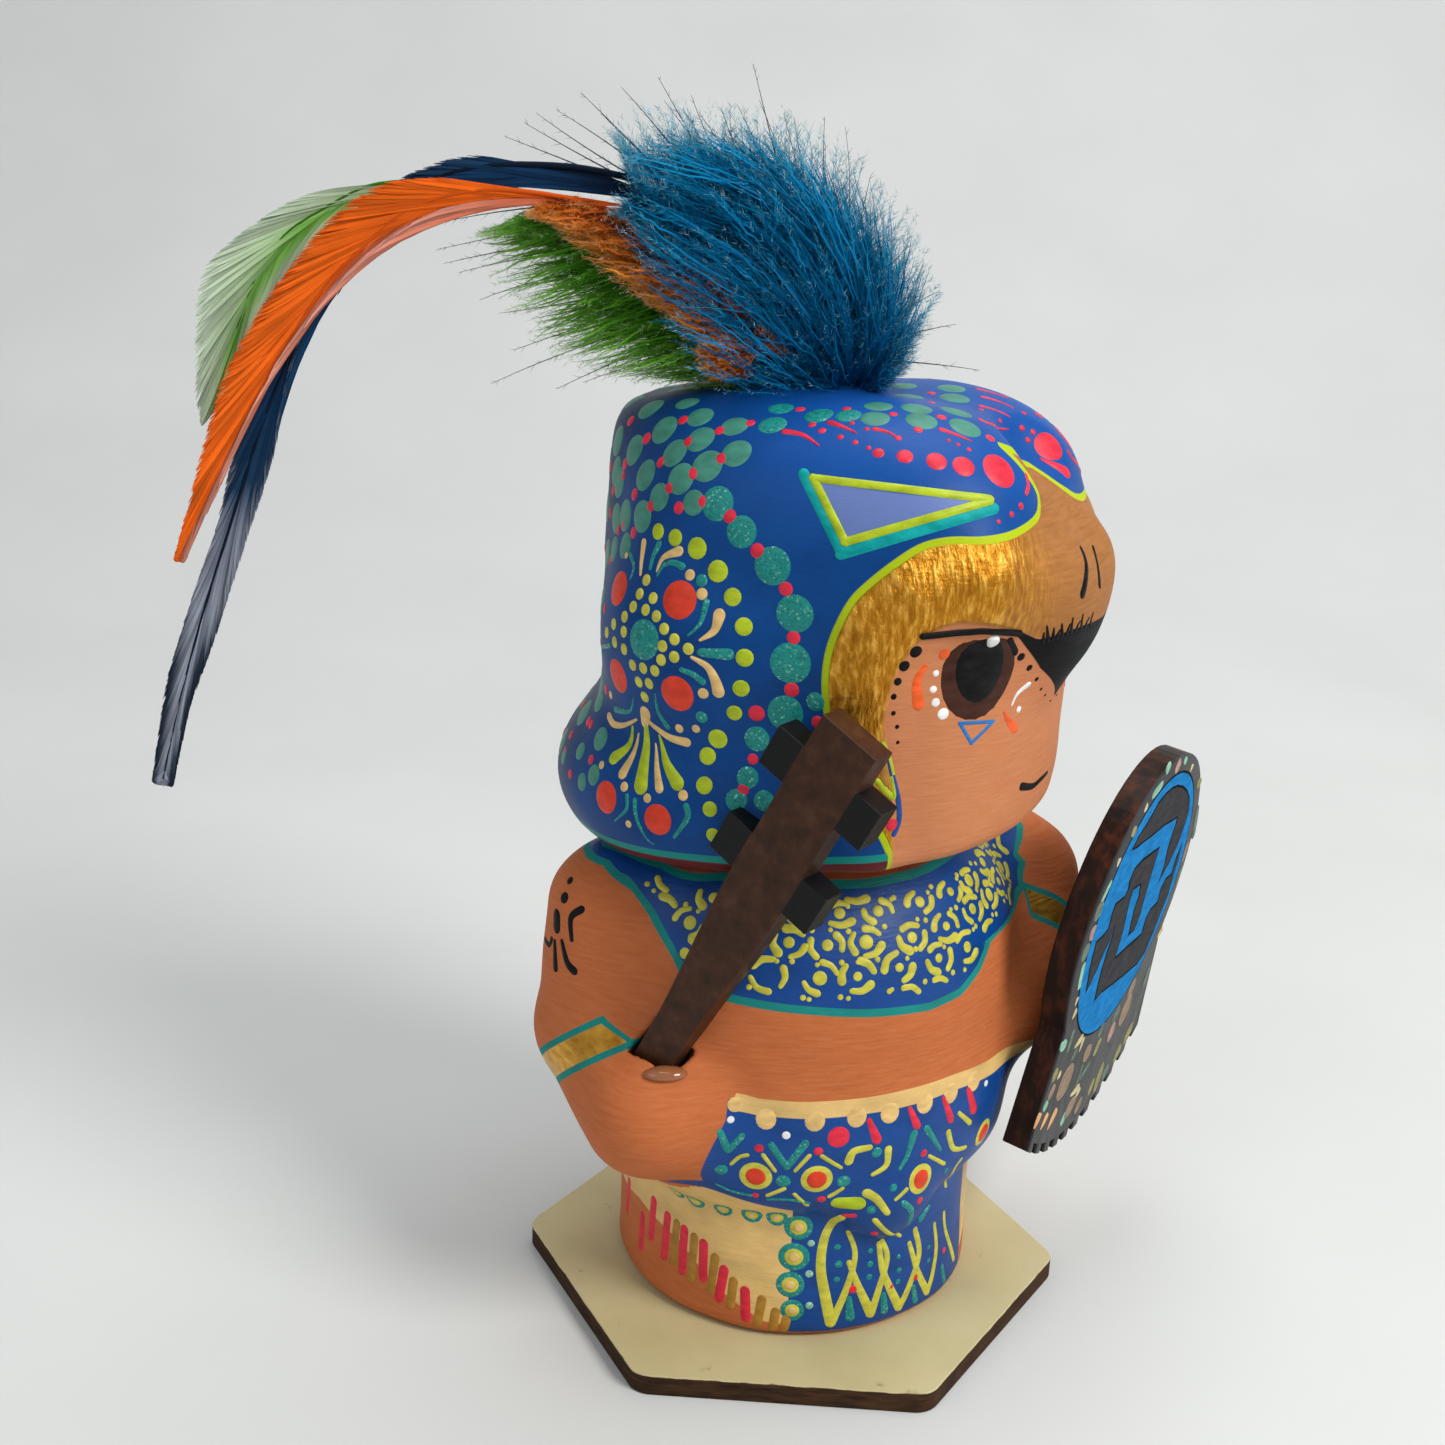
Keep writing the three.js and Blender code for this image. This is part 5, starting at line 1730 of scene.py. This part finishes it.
def face_paint():
    lay_marks("head", FACE_DOTS, FACE_STROKES)
    lay_marks("head", {}, FACE_ONE_SIDE_STROKES, mirrored=False)
    lid = seen_at((922.6, 636.3), (941.5, 634.3), (964.7, 632), (988, 631), (1018.5, 633))
    stroke("black", 0.42, 0.5, lid, "head", layer=4)
    dots("white", 0.95, seen_at((992.3, 640.6)), "head", layer=6)
    for x, rise, lean in LASHES:
        foot = LASHES_FROM[1] - (x - LASHES_FROM[0]) * LASHES_RISE
        lash = seen_at((x, foot), (x + lean * 0.4, foot - rise * 0.5), (x + lean, foot - rise))
        stroke("black", 0.34, 0.14, lash, "head", mirrored=False)


def body_paint():
    lay_marks("body", SHOULDER_DOTS, SHOULDER_STROKES)
    lay_marks("body", GARMENT_DOTS, GARMENT_STROKES)
    lay_marks("body", SKIRT_DOTS, SKIRT_STROKES)
    dots("scarlet", 1.5, seen_at(*IRISES), "body", layer=2)
    stroke("lime", 1.1, 1.1, seen_at((838.7, 1203.1), (857.8, 1203.5)), "body", layer=1)
    dots("cream", 1.45, seen_at(*SCALLOPS), "body", tall=1.1)
    rings(seen_at(*[(x, y) for x, y, r in CHAIN]), [r for x, y, r in CHAIN])


# Plume: three dyed feathers in an upright plane, placed by pixels of the photograph
PLUME_AT = HEAD_AXIS + np.array([0, 0, CROWN_Z])
PLUME_TURN = math.radians(153.6)
PLUME_OUT = np.array([math.cos(PLUME_TURN), math.sin(PLUME_TURN), 0.0])
PLUME_BEHIND = np.cross(PLUME_OUT, (0.0, 0.0, 1.0))
LAYER_GAP = 2.7
BARB_POINTS = 9
VANE_TAPER = (0.6, 1, 1, 1, 0.9, 0.7, 0.12)
DOWN_TAPER = (0.7, 1, 1, 0.95, 0.85, 0.7, 0.5, 0.35, 0.1)
MASS_TAPER = (0.4, 0.8, 1, 1, 0.9, 0.75, 0.55, 0.35, 0.1)
MASS_MIDDLE = 0.4
QUILL_SIDES = 6


class Curve:
    """A smooth curve through pixels of the photograph, in the plane of one feather."""

    def __init__(self, layer, *pixels):
        rays = seen_at(*pixels)
        start, ahead = rays[:, :3], rays[:, 3:]
        gap = (PLUME_AT - start) @ PLUME_BEHIND + np.asarray(layer) * LAYER_GAP
        self.points, at = along(start + ahead * (gap / (ahead @ PLUME_BEHIND))[:, None], 0.5)
        self.share = at / at[-1]
        self.length = at[-1]

    def __call__(self, share):
        share = np.clip(share, 0, 1)
        return np.stack([np.interp(share, self.share, self.points[:, k]) for k in range(3)], -1)


class Strands:
    """Thin ribbons and hairs, gathered into one mesh."""

    def __init__(self):
        self.points, self.faces, self.reach, self.shade = [], [], [], []
        self.count = 0

    def gather(self, points, faces, reach, shade):
        self.faces.append(faces + self.count)
        self.points.append(points)
        self.reach.append(reach)
        self.shade.append(shade)
        self.count += len(points)

    def ribbons(self, paths, widths, facing, reach, shade):
        n, k = paths.shape[:2]
        tangent = np.gradient(paths, axis=1)
        side = np.cross(tangent, facing[:, None])
        side /= np.maximum(np.linalg.norm(side, axis=2, keepdims=True), 1e-9)
        edge = np.stack([paths - side * widths[..., None], paths + side * widths[..., None]], 2)
        first = np.arange(n)[:, None] * 2 * k + 2 * np.arange(k - 1)
        quads = np.stack([first, first + 1, first + 3, first + 2], -1).reshape(-1, 4)
        tall = np.repeat(np.broadcast_to(reach, (n, k)).reshape(-1), 2)
        self.gather(edge.reshape(-1, 3), quads, tall, np.repeat(shade, 2 * k))

    def barbules(self, paths, chance, count, long, shade):
        """Single-triangle side hairs along each path."""
        n, k = paths.shape[:2]
        at = chance.uniform(0.12, 1.0, (n, count))
        low = np.minimum((at * (k - 1)).astype(int), k - 2)
        rows = np.arange(n)[:, None]
        step = paths[rows, low + 1] - paths[rows, low]
        foot = paths[rows, low] + step * (at * (k - 1) - low)[..., None]
        step /= np.maximum(np.linalg.norm(step, axis=2, keepdims=True), 1e-9)
        lean = np.cross(chance.normal(size=step.shape), step)
        lean /= np.maximum(np.linalg.norm(lean, axis=2, keepdims=True), 1e-9)
        ahead = step * 0.75 + lean * 0.6
        size = long * chance.uniform(0.5, 1.0, (n, count, 1)) * (1.15 - at[..., None] * 0.75)
        wide = step * 0.055
        points = np.stack([foot - wide, foot + wide, foot + ahead * size], 2).reshape(-1, 3)
        faces = np.arange(len(points)).reshape(-1, 3)
        reach = (at[..., None] + np.array([0, 0, 0.12])).reshape(-1)
        self.gather(points, faces, reach, np.repeat(shade, 3 * count))

    def piece(self, name, material, slot, node=None):
        faces = [face for group in self.faces for face in group.tolist()]
        made = new_piece(name, np.concatenate(self.points), faces, material, node)
        put_values(made, "reach", np.concatenate(self.reach))
        put_values(made, "shade", np.concatenate(self.shade))


def bent(start, middle, end, count):
    t = np.linspace(0, 1, count)[None, :, None]
    return start[:, None] * (1 - t) ** 2 + middle[:, None] * 2 * t * (1 - t) + end[:, None] * t ** 2


def wavy(paths, chance, by):
    """The paths with every point but the first moved a little by chance."""
    wave = chance.normal(0, by, paths.shape)
    wave[:, 0] = 0
    return paths + wave


def quill(strands, rachis, thick, shade=0.2):
    """The shaft, a thin tapered tube."""
    points = rachis.points[::4]
    k = len(points)
    tangent = np.gradient(points, axis=0)
    side = np.cross(tangent, PLUME_BEHIND)
    side /= np.linalg.norm(side, axis=1, keepdims=True)
    radius = thick * np.linspace(1, 0.25, k)
    turns = np.arange(QUILL_SIDES) * 2 * math.pi / QUILL_SIDES
    out = side[:, None] * np.cos(turns)[None, :, None] + PLUME_BEHIND * np.sin(turns)[None, :, None]
    ring = points[:, None] + radius[:, None, None] * out
    first, j = np.arange(k - 1)[:, None] * QUILL_SIDES, np.arange(QUILL_SIDES)
    near, after = first + j, first + (j + 1) % QUILL_SIDES
    faces = np.stack([near, after, after + QUILL_SIDES, near + QUILL_SIDES], -1).reshape(-1, 4)
    ring = ring.reshape(-1, 3)
    strands.gather(ring, faces, np.full(len(ring), -0.3), np.full(len(ring), shade))


def vane(strands, chance, rachis, edge, count, lead, wide, tone, late=0.0):
    """Barbs from the shaft to one edge, swept towards the tip. Past half-way their tone can go on by a step."""
    s = np.sort(chance.uniform(0, 1, count))
    ahead = lead / rachis.length * chance.uniform(0.85, 1.1, count)
    start = rachis(s)
    end = edge(np.minimum(s + ahead, 1 - chance.uniform(0, 0.015, count)))
    end = start + (end - start) * (1 - 0.018 * chance.exponential(1, count))[:, None].clip(0.5, 1)
    middle = rachis(np.minimum(s + ahead * 0.75, 1)) * 0.62 + edge(np.minimum(s + ahead * 0.8, 1)) * 0.38
    lift = PLUME_BEHIND * chance.normal(0, 0.12, (count, 1))
    paths = bent(start, middle + lift, end + lift * 2, len(VANE_TAPER))
    widths = wide * np.array(VANE_TAPER)[None] * chance.uniform(0.6, 1.2, (count, 1))
    facing = PLUME_BEHIND + chance.normal(0, 0.12, (count, 3))
    fade = np.clip((s - 0.42) / 0.25, 0, 1)[:, None]
    reach = tone + np.linspace(0, 1, len(VANE_TAPER))[None] * (0.45 - 0.05 * fade) + late * fade
    strands.ribbons(paths, widths, facing, reach, chance.uniform(0, 1, count))


def down(strands, chance, roots, tips, count, depth, wide=0.16, long=2.0, span=(0.5, 1.0), hairs=30, tone=0.0,
         lead=0.14, spread=0.0):
    """Soft barbs from the shaft out to a ragged outline, swept towards the feather's tip."""
    s = chance.uniform(-lead, 1, count)
    foot = roots(s) + chance.normal(0, 0.5, (count, 3))
    aim = tips(s + lead + chance.normal(0, 0.05, count)) - foot
    from_shaft = chance.uniform(0, spread, (count, 1))
    reach = np.maximum(chance.uniform(*span, (count, 1)), from_shaft + 0.2)
    across = PLUME_BEHIND * chance.normal(0, depth, (count, 1))
    start = foot + aim * from_shaft + across * from_shaft
    end = foot + aim * reach + across
    size = np.linalg.norm(end - start, axis=1, keepdims=True)
    middle = (start + end) / 2 + chance.normal(0, 1, (count, 3)) * size * 0.07 + across * 0.25
    paths = wavy(bent(start, middle, end, BARB_POINTS), chance, 0.13)
    widths = wide * np.array(DOWN_TAPER)[None] * chance.uniform(0.5, 1.2, (count, 1))
    facing = chance.normal(size=(count, 3))
    shade = chance.uniform(0, 1, count)
    rise = from_shaft + np.linspace(0, 1, BARB_POINTS)[None] * (reach - from_shaft)
    strands.ribbons(paths, widths, facing, tone + rise, shade)
    strands.barbules(paths, chance, hairs, long, shade)


def mass(strands, chance, under, top, count, depth):
    """Soft barbs that fill the space between two outlines and stream along the feather and outwards."""
    s = chance.uniform(-0.12, 0.72, (count, 1))
    u = chance.uniform(0.04, 0.84, (count, 1))
    ahead = chance.uniform(0.16, 0.34, (count, 1))
    out = u + (u - MASS_MIDDLE) * 0.5 + chance.normal(0, 0.04, (count, 1))
    start = under(s[:, 0]) * (1 - u) + top(s[:, 0]) * u
    further = np.minimum(s + ahead, 1.0)[:, 0]
    end = under(further) * (1 - out) + top(further) * out
    level = PLUME_BEHIND * chance.normal(0, depth, (count, 1))
    start = start + level * np.clip(0.15 + s * 3, 0.15, 1)
    end = end + level + PLUME_BEHIND * chance.normal(0, 0.8, (count, 1))
    size = np.linalg.norm(end - start, axis=1, keepdims=True)
    between_ends = (start + end) / 2 + chance.normal(0, 0.05, (count, 3)) * size
    paths = wavy(bent(start, between_ends, end, BARB_POINTS), chance, 0.1)
    widths = 0.12 * np.array(MASS_TAPER)[None] * chance.uniform(0.5, 1.2, (count, 1))
    shade = chance.uniform(0, 1, count)
    reach = 0.16 + np.clip(s, 0, 1) * 0.2 + np.abs(u - MASS_MIDDLE) * 0.4
    reach = reach + np.linspace(0, 0.3, BARB_POINTS)[None]
    strands.ribbons(paths, widths, chance.normal(size=(count, 3)), np.minimum(reach, 0.8), shade)
    strands.barbules(paths, chance, 20, 2.2, shade)


def wisps(strands, chance, layer, feet, tips, depth, hairs):
    """Long stiff hairs that stand out of the down, each to its own pixel."""
    foot = feet(np.linspace(0, 1, len(tips)))
    rays = seen_at(*tips)
    gap = (PLUME_AT + PLUME_BEHIND * layer * LAYER_GAP - rays[:, :3]) @ PLUME_BEHIND
    end = rays[:, :3] + rays[:, 3:] * (gap / (rays[:, 3:] @ PLUME_BEHIND))[:, None]
    end = end + PLUME_BEHIND * chance.normal(0, depth, (len(tips), 1))
    size = np.linalg.norm(end - foot, axis=1, keepdims=True)
    paths = bent(foot, (foot + end) / 2 + chance.normal(0, 0.04, end.shape) * size, end, BARB_POINTS)
    widths = 0.13 * np.linspace(1, 0.2, BARB_POINTS)[None] * np.ones((len(tips), 1))
    facing = PLUME_BEHIND + chance.normal(0, 0.3, end.shape)
    strands.ribbons(paths, widths, facing, 0.5, chance.uniform(0, 1, len(tips)))
    strands.barbules(paths, chance, hairs, 2.6, np.zeros(len(tips)))


# The feathers' outlines, by pixels of the photograph
BLUE_TAIL = ((302, 330), (262, 425), (232, 520), (204, 610), (180, 700), (162, 785))
BLUE_SHAFT = (
    (862, 392), (846, 330), (806, 262), (752, 222), (690, 196), (630, 178), (560, 166), (470, 168), (400, 196),
    (345, 250), *BLUE_TAIL,
)
BLUE_RACHIS = ((670, 204), (620, 182), (560, 168), (470, 172), (400, 200), (345, 252), *BLUE_TAIL)
BLUE_OUTER = (
    (668, 182), (634, 164), (598, 154), (557, 149), (515, 149), (473, 154), (432, 164), (395, 182), (350, 225),
    (310, 290), (286, 347), (261, 388), (232, 459), (217, 526), (198, 580), (182, 630), (167, 680), (159, 730),
    (152, 782),
)
BLUE_INNER = (
    (678, 238), (634, 222), (590, 208), (536, 192), (480, 187), (430, 196), (385, 232), (345, 280), (323, 309),
    (298, 342), (282, 397), (273, 455), (261, 497), (246, 542), (230, 592), (211, 651), (192, 701), (182, 742),
    (173, 787),
)
BLUE_WISPS = (
    (502, 137), (521, 123), (532, 113), (555, 110), (579, 92), (600, 114), (622, 87), (637, 104), (658, 77),
    (664, 100), (691, 95), (699, 112), (721, 108), (738, 106), (753, 65), (760, 100), (783, 114), (794, 117),
    (826, 117), (845, 127), (868, 174), (880, 218), (907, 244), (922, 272), (939, 290), (956, 324), (977, 367),
)
ORANGE_TAIL = (
    (480, 190), (411, 208), (365, 245), (327, 284), (298, 326), (269, 376), (244, 417), (223, 459), (202, 505),
    (186, 538), (179, 562),
)
ORANGE_SHAFT = ((850, 392), (800, 350), (740, 300), (680, 250), (620, 215), (560, 197), *ORANGE_TAIL)
ORANGE_SUNK = (0.4, 0.4, 0.3, 0.0, -0.6)
ORANGE_RACHIS = ((620, 205), (560, 196), *ORANGE_TAIL)
ORANGE_UPPER = (
    (620, 190), (560, 182), (527, 181), (490, 179), (448, 177), (398, 180), (373, 187), (344, 206), (315, 233),
    (290, 266), (265, 300), (240, 342), (221, 380), (209, 422), (198, 463), (188, 505), (180, 534), (174, 560),
)
ORANGE_LOWER = (
    (620, 214), (557, 203), (515, 201), (482, 201), (457, 207), (423, 217), (390, 238), (357, 263), (327, 297),
    (302, 330), (277, 363), (257, 401), (240, 434), (227, 467), (215, 497), (202, 522), (192, 542), (185, 562),
)
GREEN_TAIL = ((365, 187), (323, 209), (290, 230), (265, 259), (248, 297), (234, 338), (223, 376), (214, 408))
GREEN_SHAFT = (
    (860, 392), (800, 345), (740, 300), (680, 255), (620, 222), (560, 200), (480, 184), (410, 182), *GREEN_TAIL,
)
GREEN_RACHIS = ((480, 182), (410, 180), *GREEN_TAIL)
GREEN_OUTER = (
    (480, 172), (407, 178), (365, 184), (323, 190), (294, 199), (265, 215), (236, 236), (215, 255), (200, 276),
    (195, 317), (195, 363), (196, 401), (202, 426),
)
GREEN_INNER = (
    (480, 192), (410, 194), (370, 204), (340, 220), (312, 246), (290, 275), (272, 305), (252, 345), (236, 380),
    (220, 416),
)
GREEN_WISPS = (
    (424, 226), (436, 250), (446, 262), (461, 271), (482, 298), (494, 318), (514, 350), (494, 380), (558, 388),
    (582, 384),
)


def blue_feather():
    chance = np.random.default_rng(11)
    layer = 0
    barbs = Strands()
    quill(barbs, Curve(layer, *BLUE_SHAFT), 0.55)
    rachis = Curve(layer, *BLUE_RACHIS)
    vane(barbs, chance, rachis, Curve(layer, *BLUE_OUTER), 950, 26, 0.24, 0.0, late=0.5)
    vane(barbs, chance, rachis, Curve(layer, *BLUE_INNER), 950, 26, 0.24, 0.03, late=0.5)
    navy = feather_material("navy_barbs", (0.0, 0.004, 0.012, 0.03), (0.2, 0.006, 0.035, 0.10),
                            (0.42, 0.010, 0.035, 0.08), (0.52, 0.16, 0.18, 0.24), (0.68, 0.24, 0.26, 0.32),
                            (0.82, 0.02, 0.03, 0.05), (0.95, 0.008, 0.012, 0.02))
    barbs.piece("feather_blue_vane", navy, "feather_blue", "feather_blue")
    fluff = Strands()
    roots = Curve(layer, (862, 394), (844, 350), (812, 300), (770, 262), (722, 236), (680, 216), (640, 200))
    top = Curve(layer, (900, 372), (920, 318), (905, 262), (872, 208), (824, 165), (768, 142), (714, 134),
                (664, 136), (625, 150))
    under = Curve(layer, (790, 400), (748, 388), (722, 350), (694, 318), (672, 288), (652, 262), (632, 236),
                  (606, 212))
    down(fluff, chance, roots, top, 1000, 4.0, long=2.4, span=(0.45, 0.9), hairs=28, lead=0.18)
    down(fluff, chance, roots, under, 600, 3.2, span=(0.4, 1.0), hairs=20, lead=0.3)
    mass(fluff, chance, under, top, 2900, 4.6)
    down(fluff, chance, roots, top, 420, 2.5, wide=0.09, long=2.8, span=(0.9, 1.3), hairs=44, spread=0.5,
         lead=0.16)
    blue = feather_material("blue_down", (0.0, 0.0, 0.055, 0.17), (0.22, 0.0, 0.105, 0.26),
                            (0.5, 0.0, 0.14, 0.31), (0.75, 0.003, 0.21, 0.38), (0.9, 0.06, 0.33, 0.44),
                            (1.0, 0.30, 0.44, 0.48))
    fluff.piece("feather_blue_down", blue, "feather_blue", "feather_blue")
    long = Strands()
    feet = Curve(layer, (640, 190), (700, 200), (760, 215), (830, 270), (870, 360))
    wisps(long, chance, layer, feet, BLUE_WISPS, 3.0, 16)
    grey = feather_material("blue_wisps", (0.0, 0.03, 0.06, 0.09), (1.0, 0.05, 0.09, 0.12))
    long.piece("feather_blue_wisps", grey, "feather_blue")


def orange_feather():
    chance = np.random.default_rng(12)
    layer = -1
    barbs = Strands()
    quill(barbs, Curve([*ORANGE_SUNK, *[layer] * 12], *ORANGE_SHAFT), 0.5)
    rachis = Curve(layer, *ORANGE_RACHIS)
    vane(barbs, chance, rachis, Curve(layer, *ORANGE_UPPER), 950, 24, 0.24, 0.0)
    vane(barbs, chance, rachis, Curve(layer, *ORANGE_LOWER), 950, 24, 0.24, 0.5)
    orange = feather_material("orange_barbs", (0.0, 0.66, 0.09, 0.006), (0.4, 0.78, 0.13, 0.010),
                              (0.55, 0.48, 0.08, 0.02), (0.75, 0.58, 0.20, 0.13), (0.95, 0.6, 0.28, 0.23))
    barbs.piece("feather_orange_vane", orange, "feather_orange", "feather_orange")
    fluff = Strands()
    roots = Curve(layer, (770, 352), (728, 310), (688, 272), (640, 236), (590, 210), (560, 202))
    under = Curve(layer, (700, 362), (664, 322), (622, 292), (588, 268), (556, 238), (520, 214))
    over = Curve(0, (800, 352), (758, 300), (716, 262), (672, 232), (628, 214), (590, 204))
    down(fluff, chance, roots, under, 750, 2.4, span=(0.3, 0.95), long=1.9, hairs=30, spread=0.4, lead=0.26)
    down(fluff, chance, roots, over, 420, 1.6, span=(0.3, 1.0), long=1.8, hairs=24, tone=-0.1)
    rust = Curve(layer - 0.6, (752, 372), (740, 366), (722, 352))
    tuft = Curve(layer - 0.6, (705, 384), (694, 366), (692, 350))
    down(fluff, chance, rust, tuft, 110, 1.6, span=(0.5, 1.0), long=1.6, hairs=30)
    dyed = feather_material("orange_down", (0.0, 0.30, 0.05, 0.02), (0.4, 0.50, 0.12, 0.012),
                            (0.8, 0.62, 0.22, 0.03), (1.0, 0.50, 0.30, 0.16))
    fluff.piece("feather_orange_down", dyed, "feather_orange", "feather_orange")


def green_feather():
    chance = np.random.default_rng(13)
    layer = 1
    barbs = Strands()
    quill(barbs, Curve(layer, *GREEN_SHAFT), 0.5, 0.0)
    rachis = Curve(layer, *GREEN_RACHIS)
    vane(barbs, chance, rachis, Curve(layer, *GREEN_OUTER), 620, 20, 0.22, 0.0)
    vane(barbs, chance, rachis, Curve(layer, *GREEN_INNER), 520, 16, 0.22, 0.0)
    green = feather_material("green_barbs", (0.0, 0.05, 0.22, 0.01), (0.1, 0.16, 0.38, 0.07),
                             (0.22, 0.38, 0.52, 0.30), (0.45, 0.55, 0.64, 0.50))
    barbs.piece("feather_green_vane", green, "feather_green", "feather_green")
    fluff = Strands()
    roots = Curve(layer, (800, 370), (740, 330), (690, 290), (640, 255), (590, 225), (550, 210))
    under = Curve(layer, (702, 392), (650, 378), (600, 372), (556, 352), (522, 318), (500, 280), (478, 235))
    down(fluff, chance, roots, under, 900, 2.8, span=(0.35, 1.05), long=2.2, hairs=34, spread=0.4, lead=0.12)
    dyed = feather_material("green_down", (0.0, 0.02, 0.10, 0.01), (0.35, 0.06, 0.26, 0.012),
                            (0.75, 0.16, 0.42, 0.04), (1.0, 0.34, 0.45, 0.25))
    fluff.piece("feather_green_down", dyed, "feather_green", "feather_green")
    long = Strands()
    feet = Curve(layer, (560, 205), (600, 240), (640, 290), (700, 350))
    wisps(long, chance, layer, feet, GREEN_WISPS, 2.0, 30)
    grey = feather_material("green_wisps", (0.0, 0.05, 0.06, 0.05), (1.0, 0.12, 0.14, 0.11))
    long.piece("feather_green_wisps", grey, "feather_green")


camera()
floor()
lights()
clay_pieces()
boards()
helmet_paint()
hidden_sides()
face_paint()
eye()
body_paint()
bib_paint()
shield_picture()
painted_pieces()
blue_feather()
orange_feather()
green_feather()
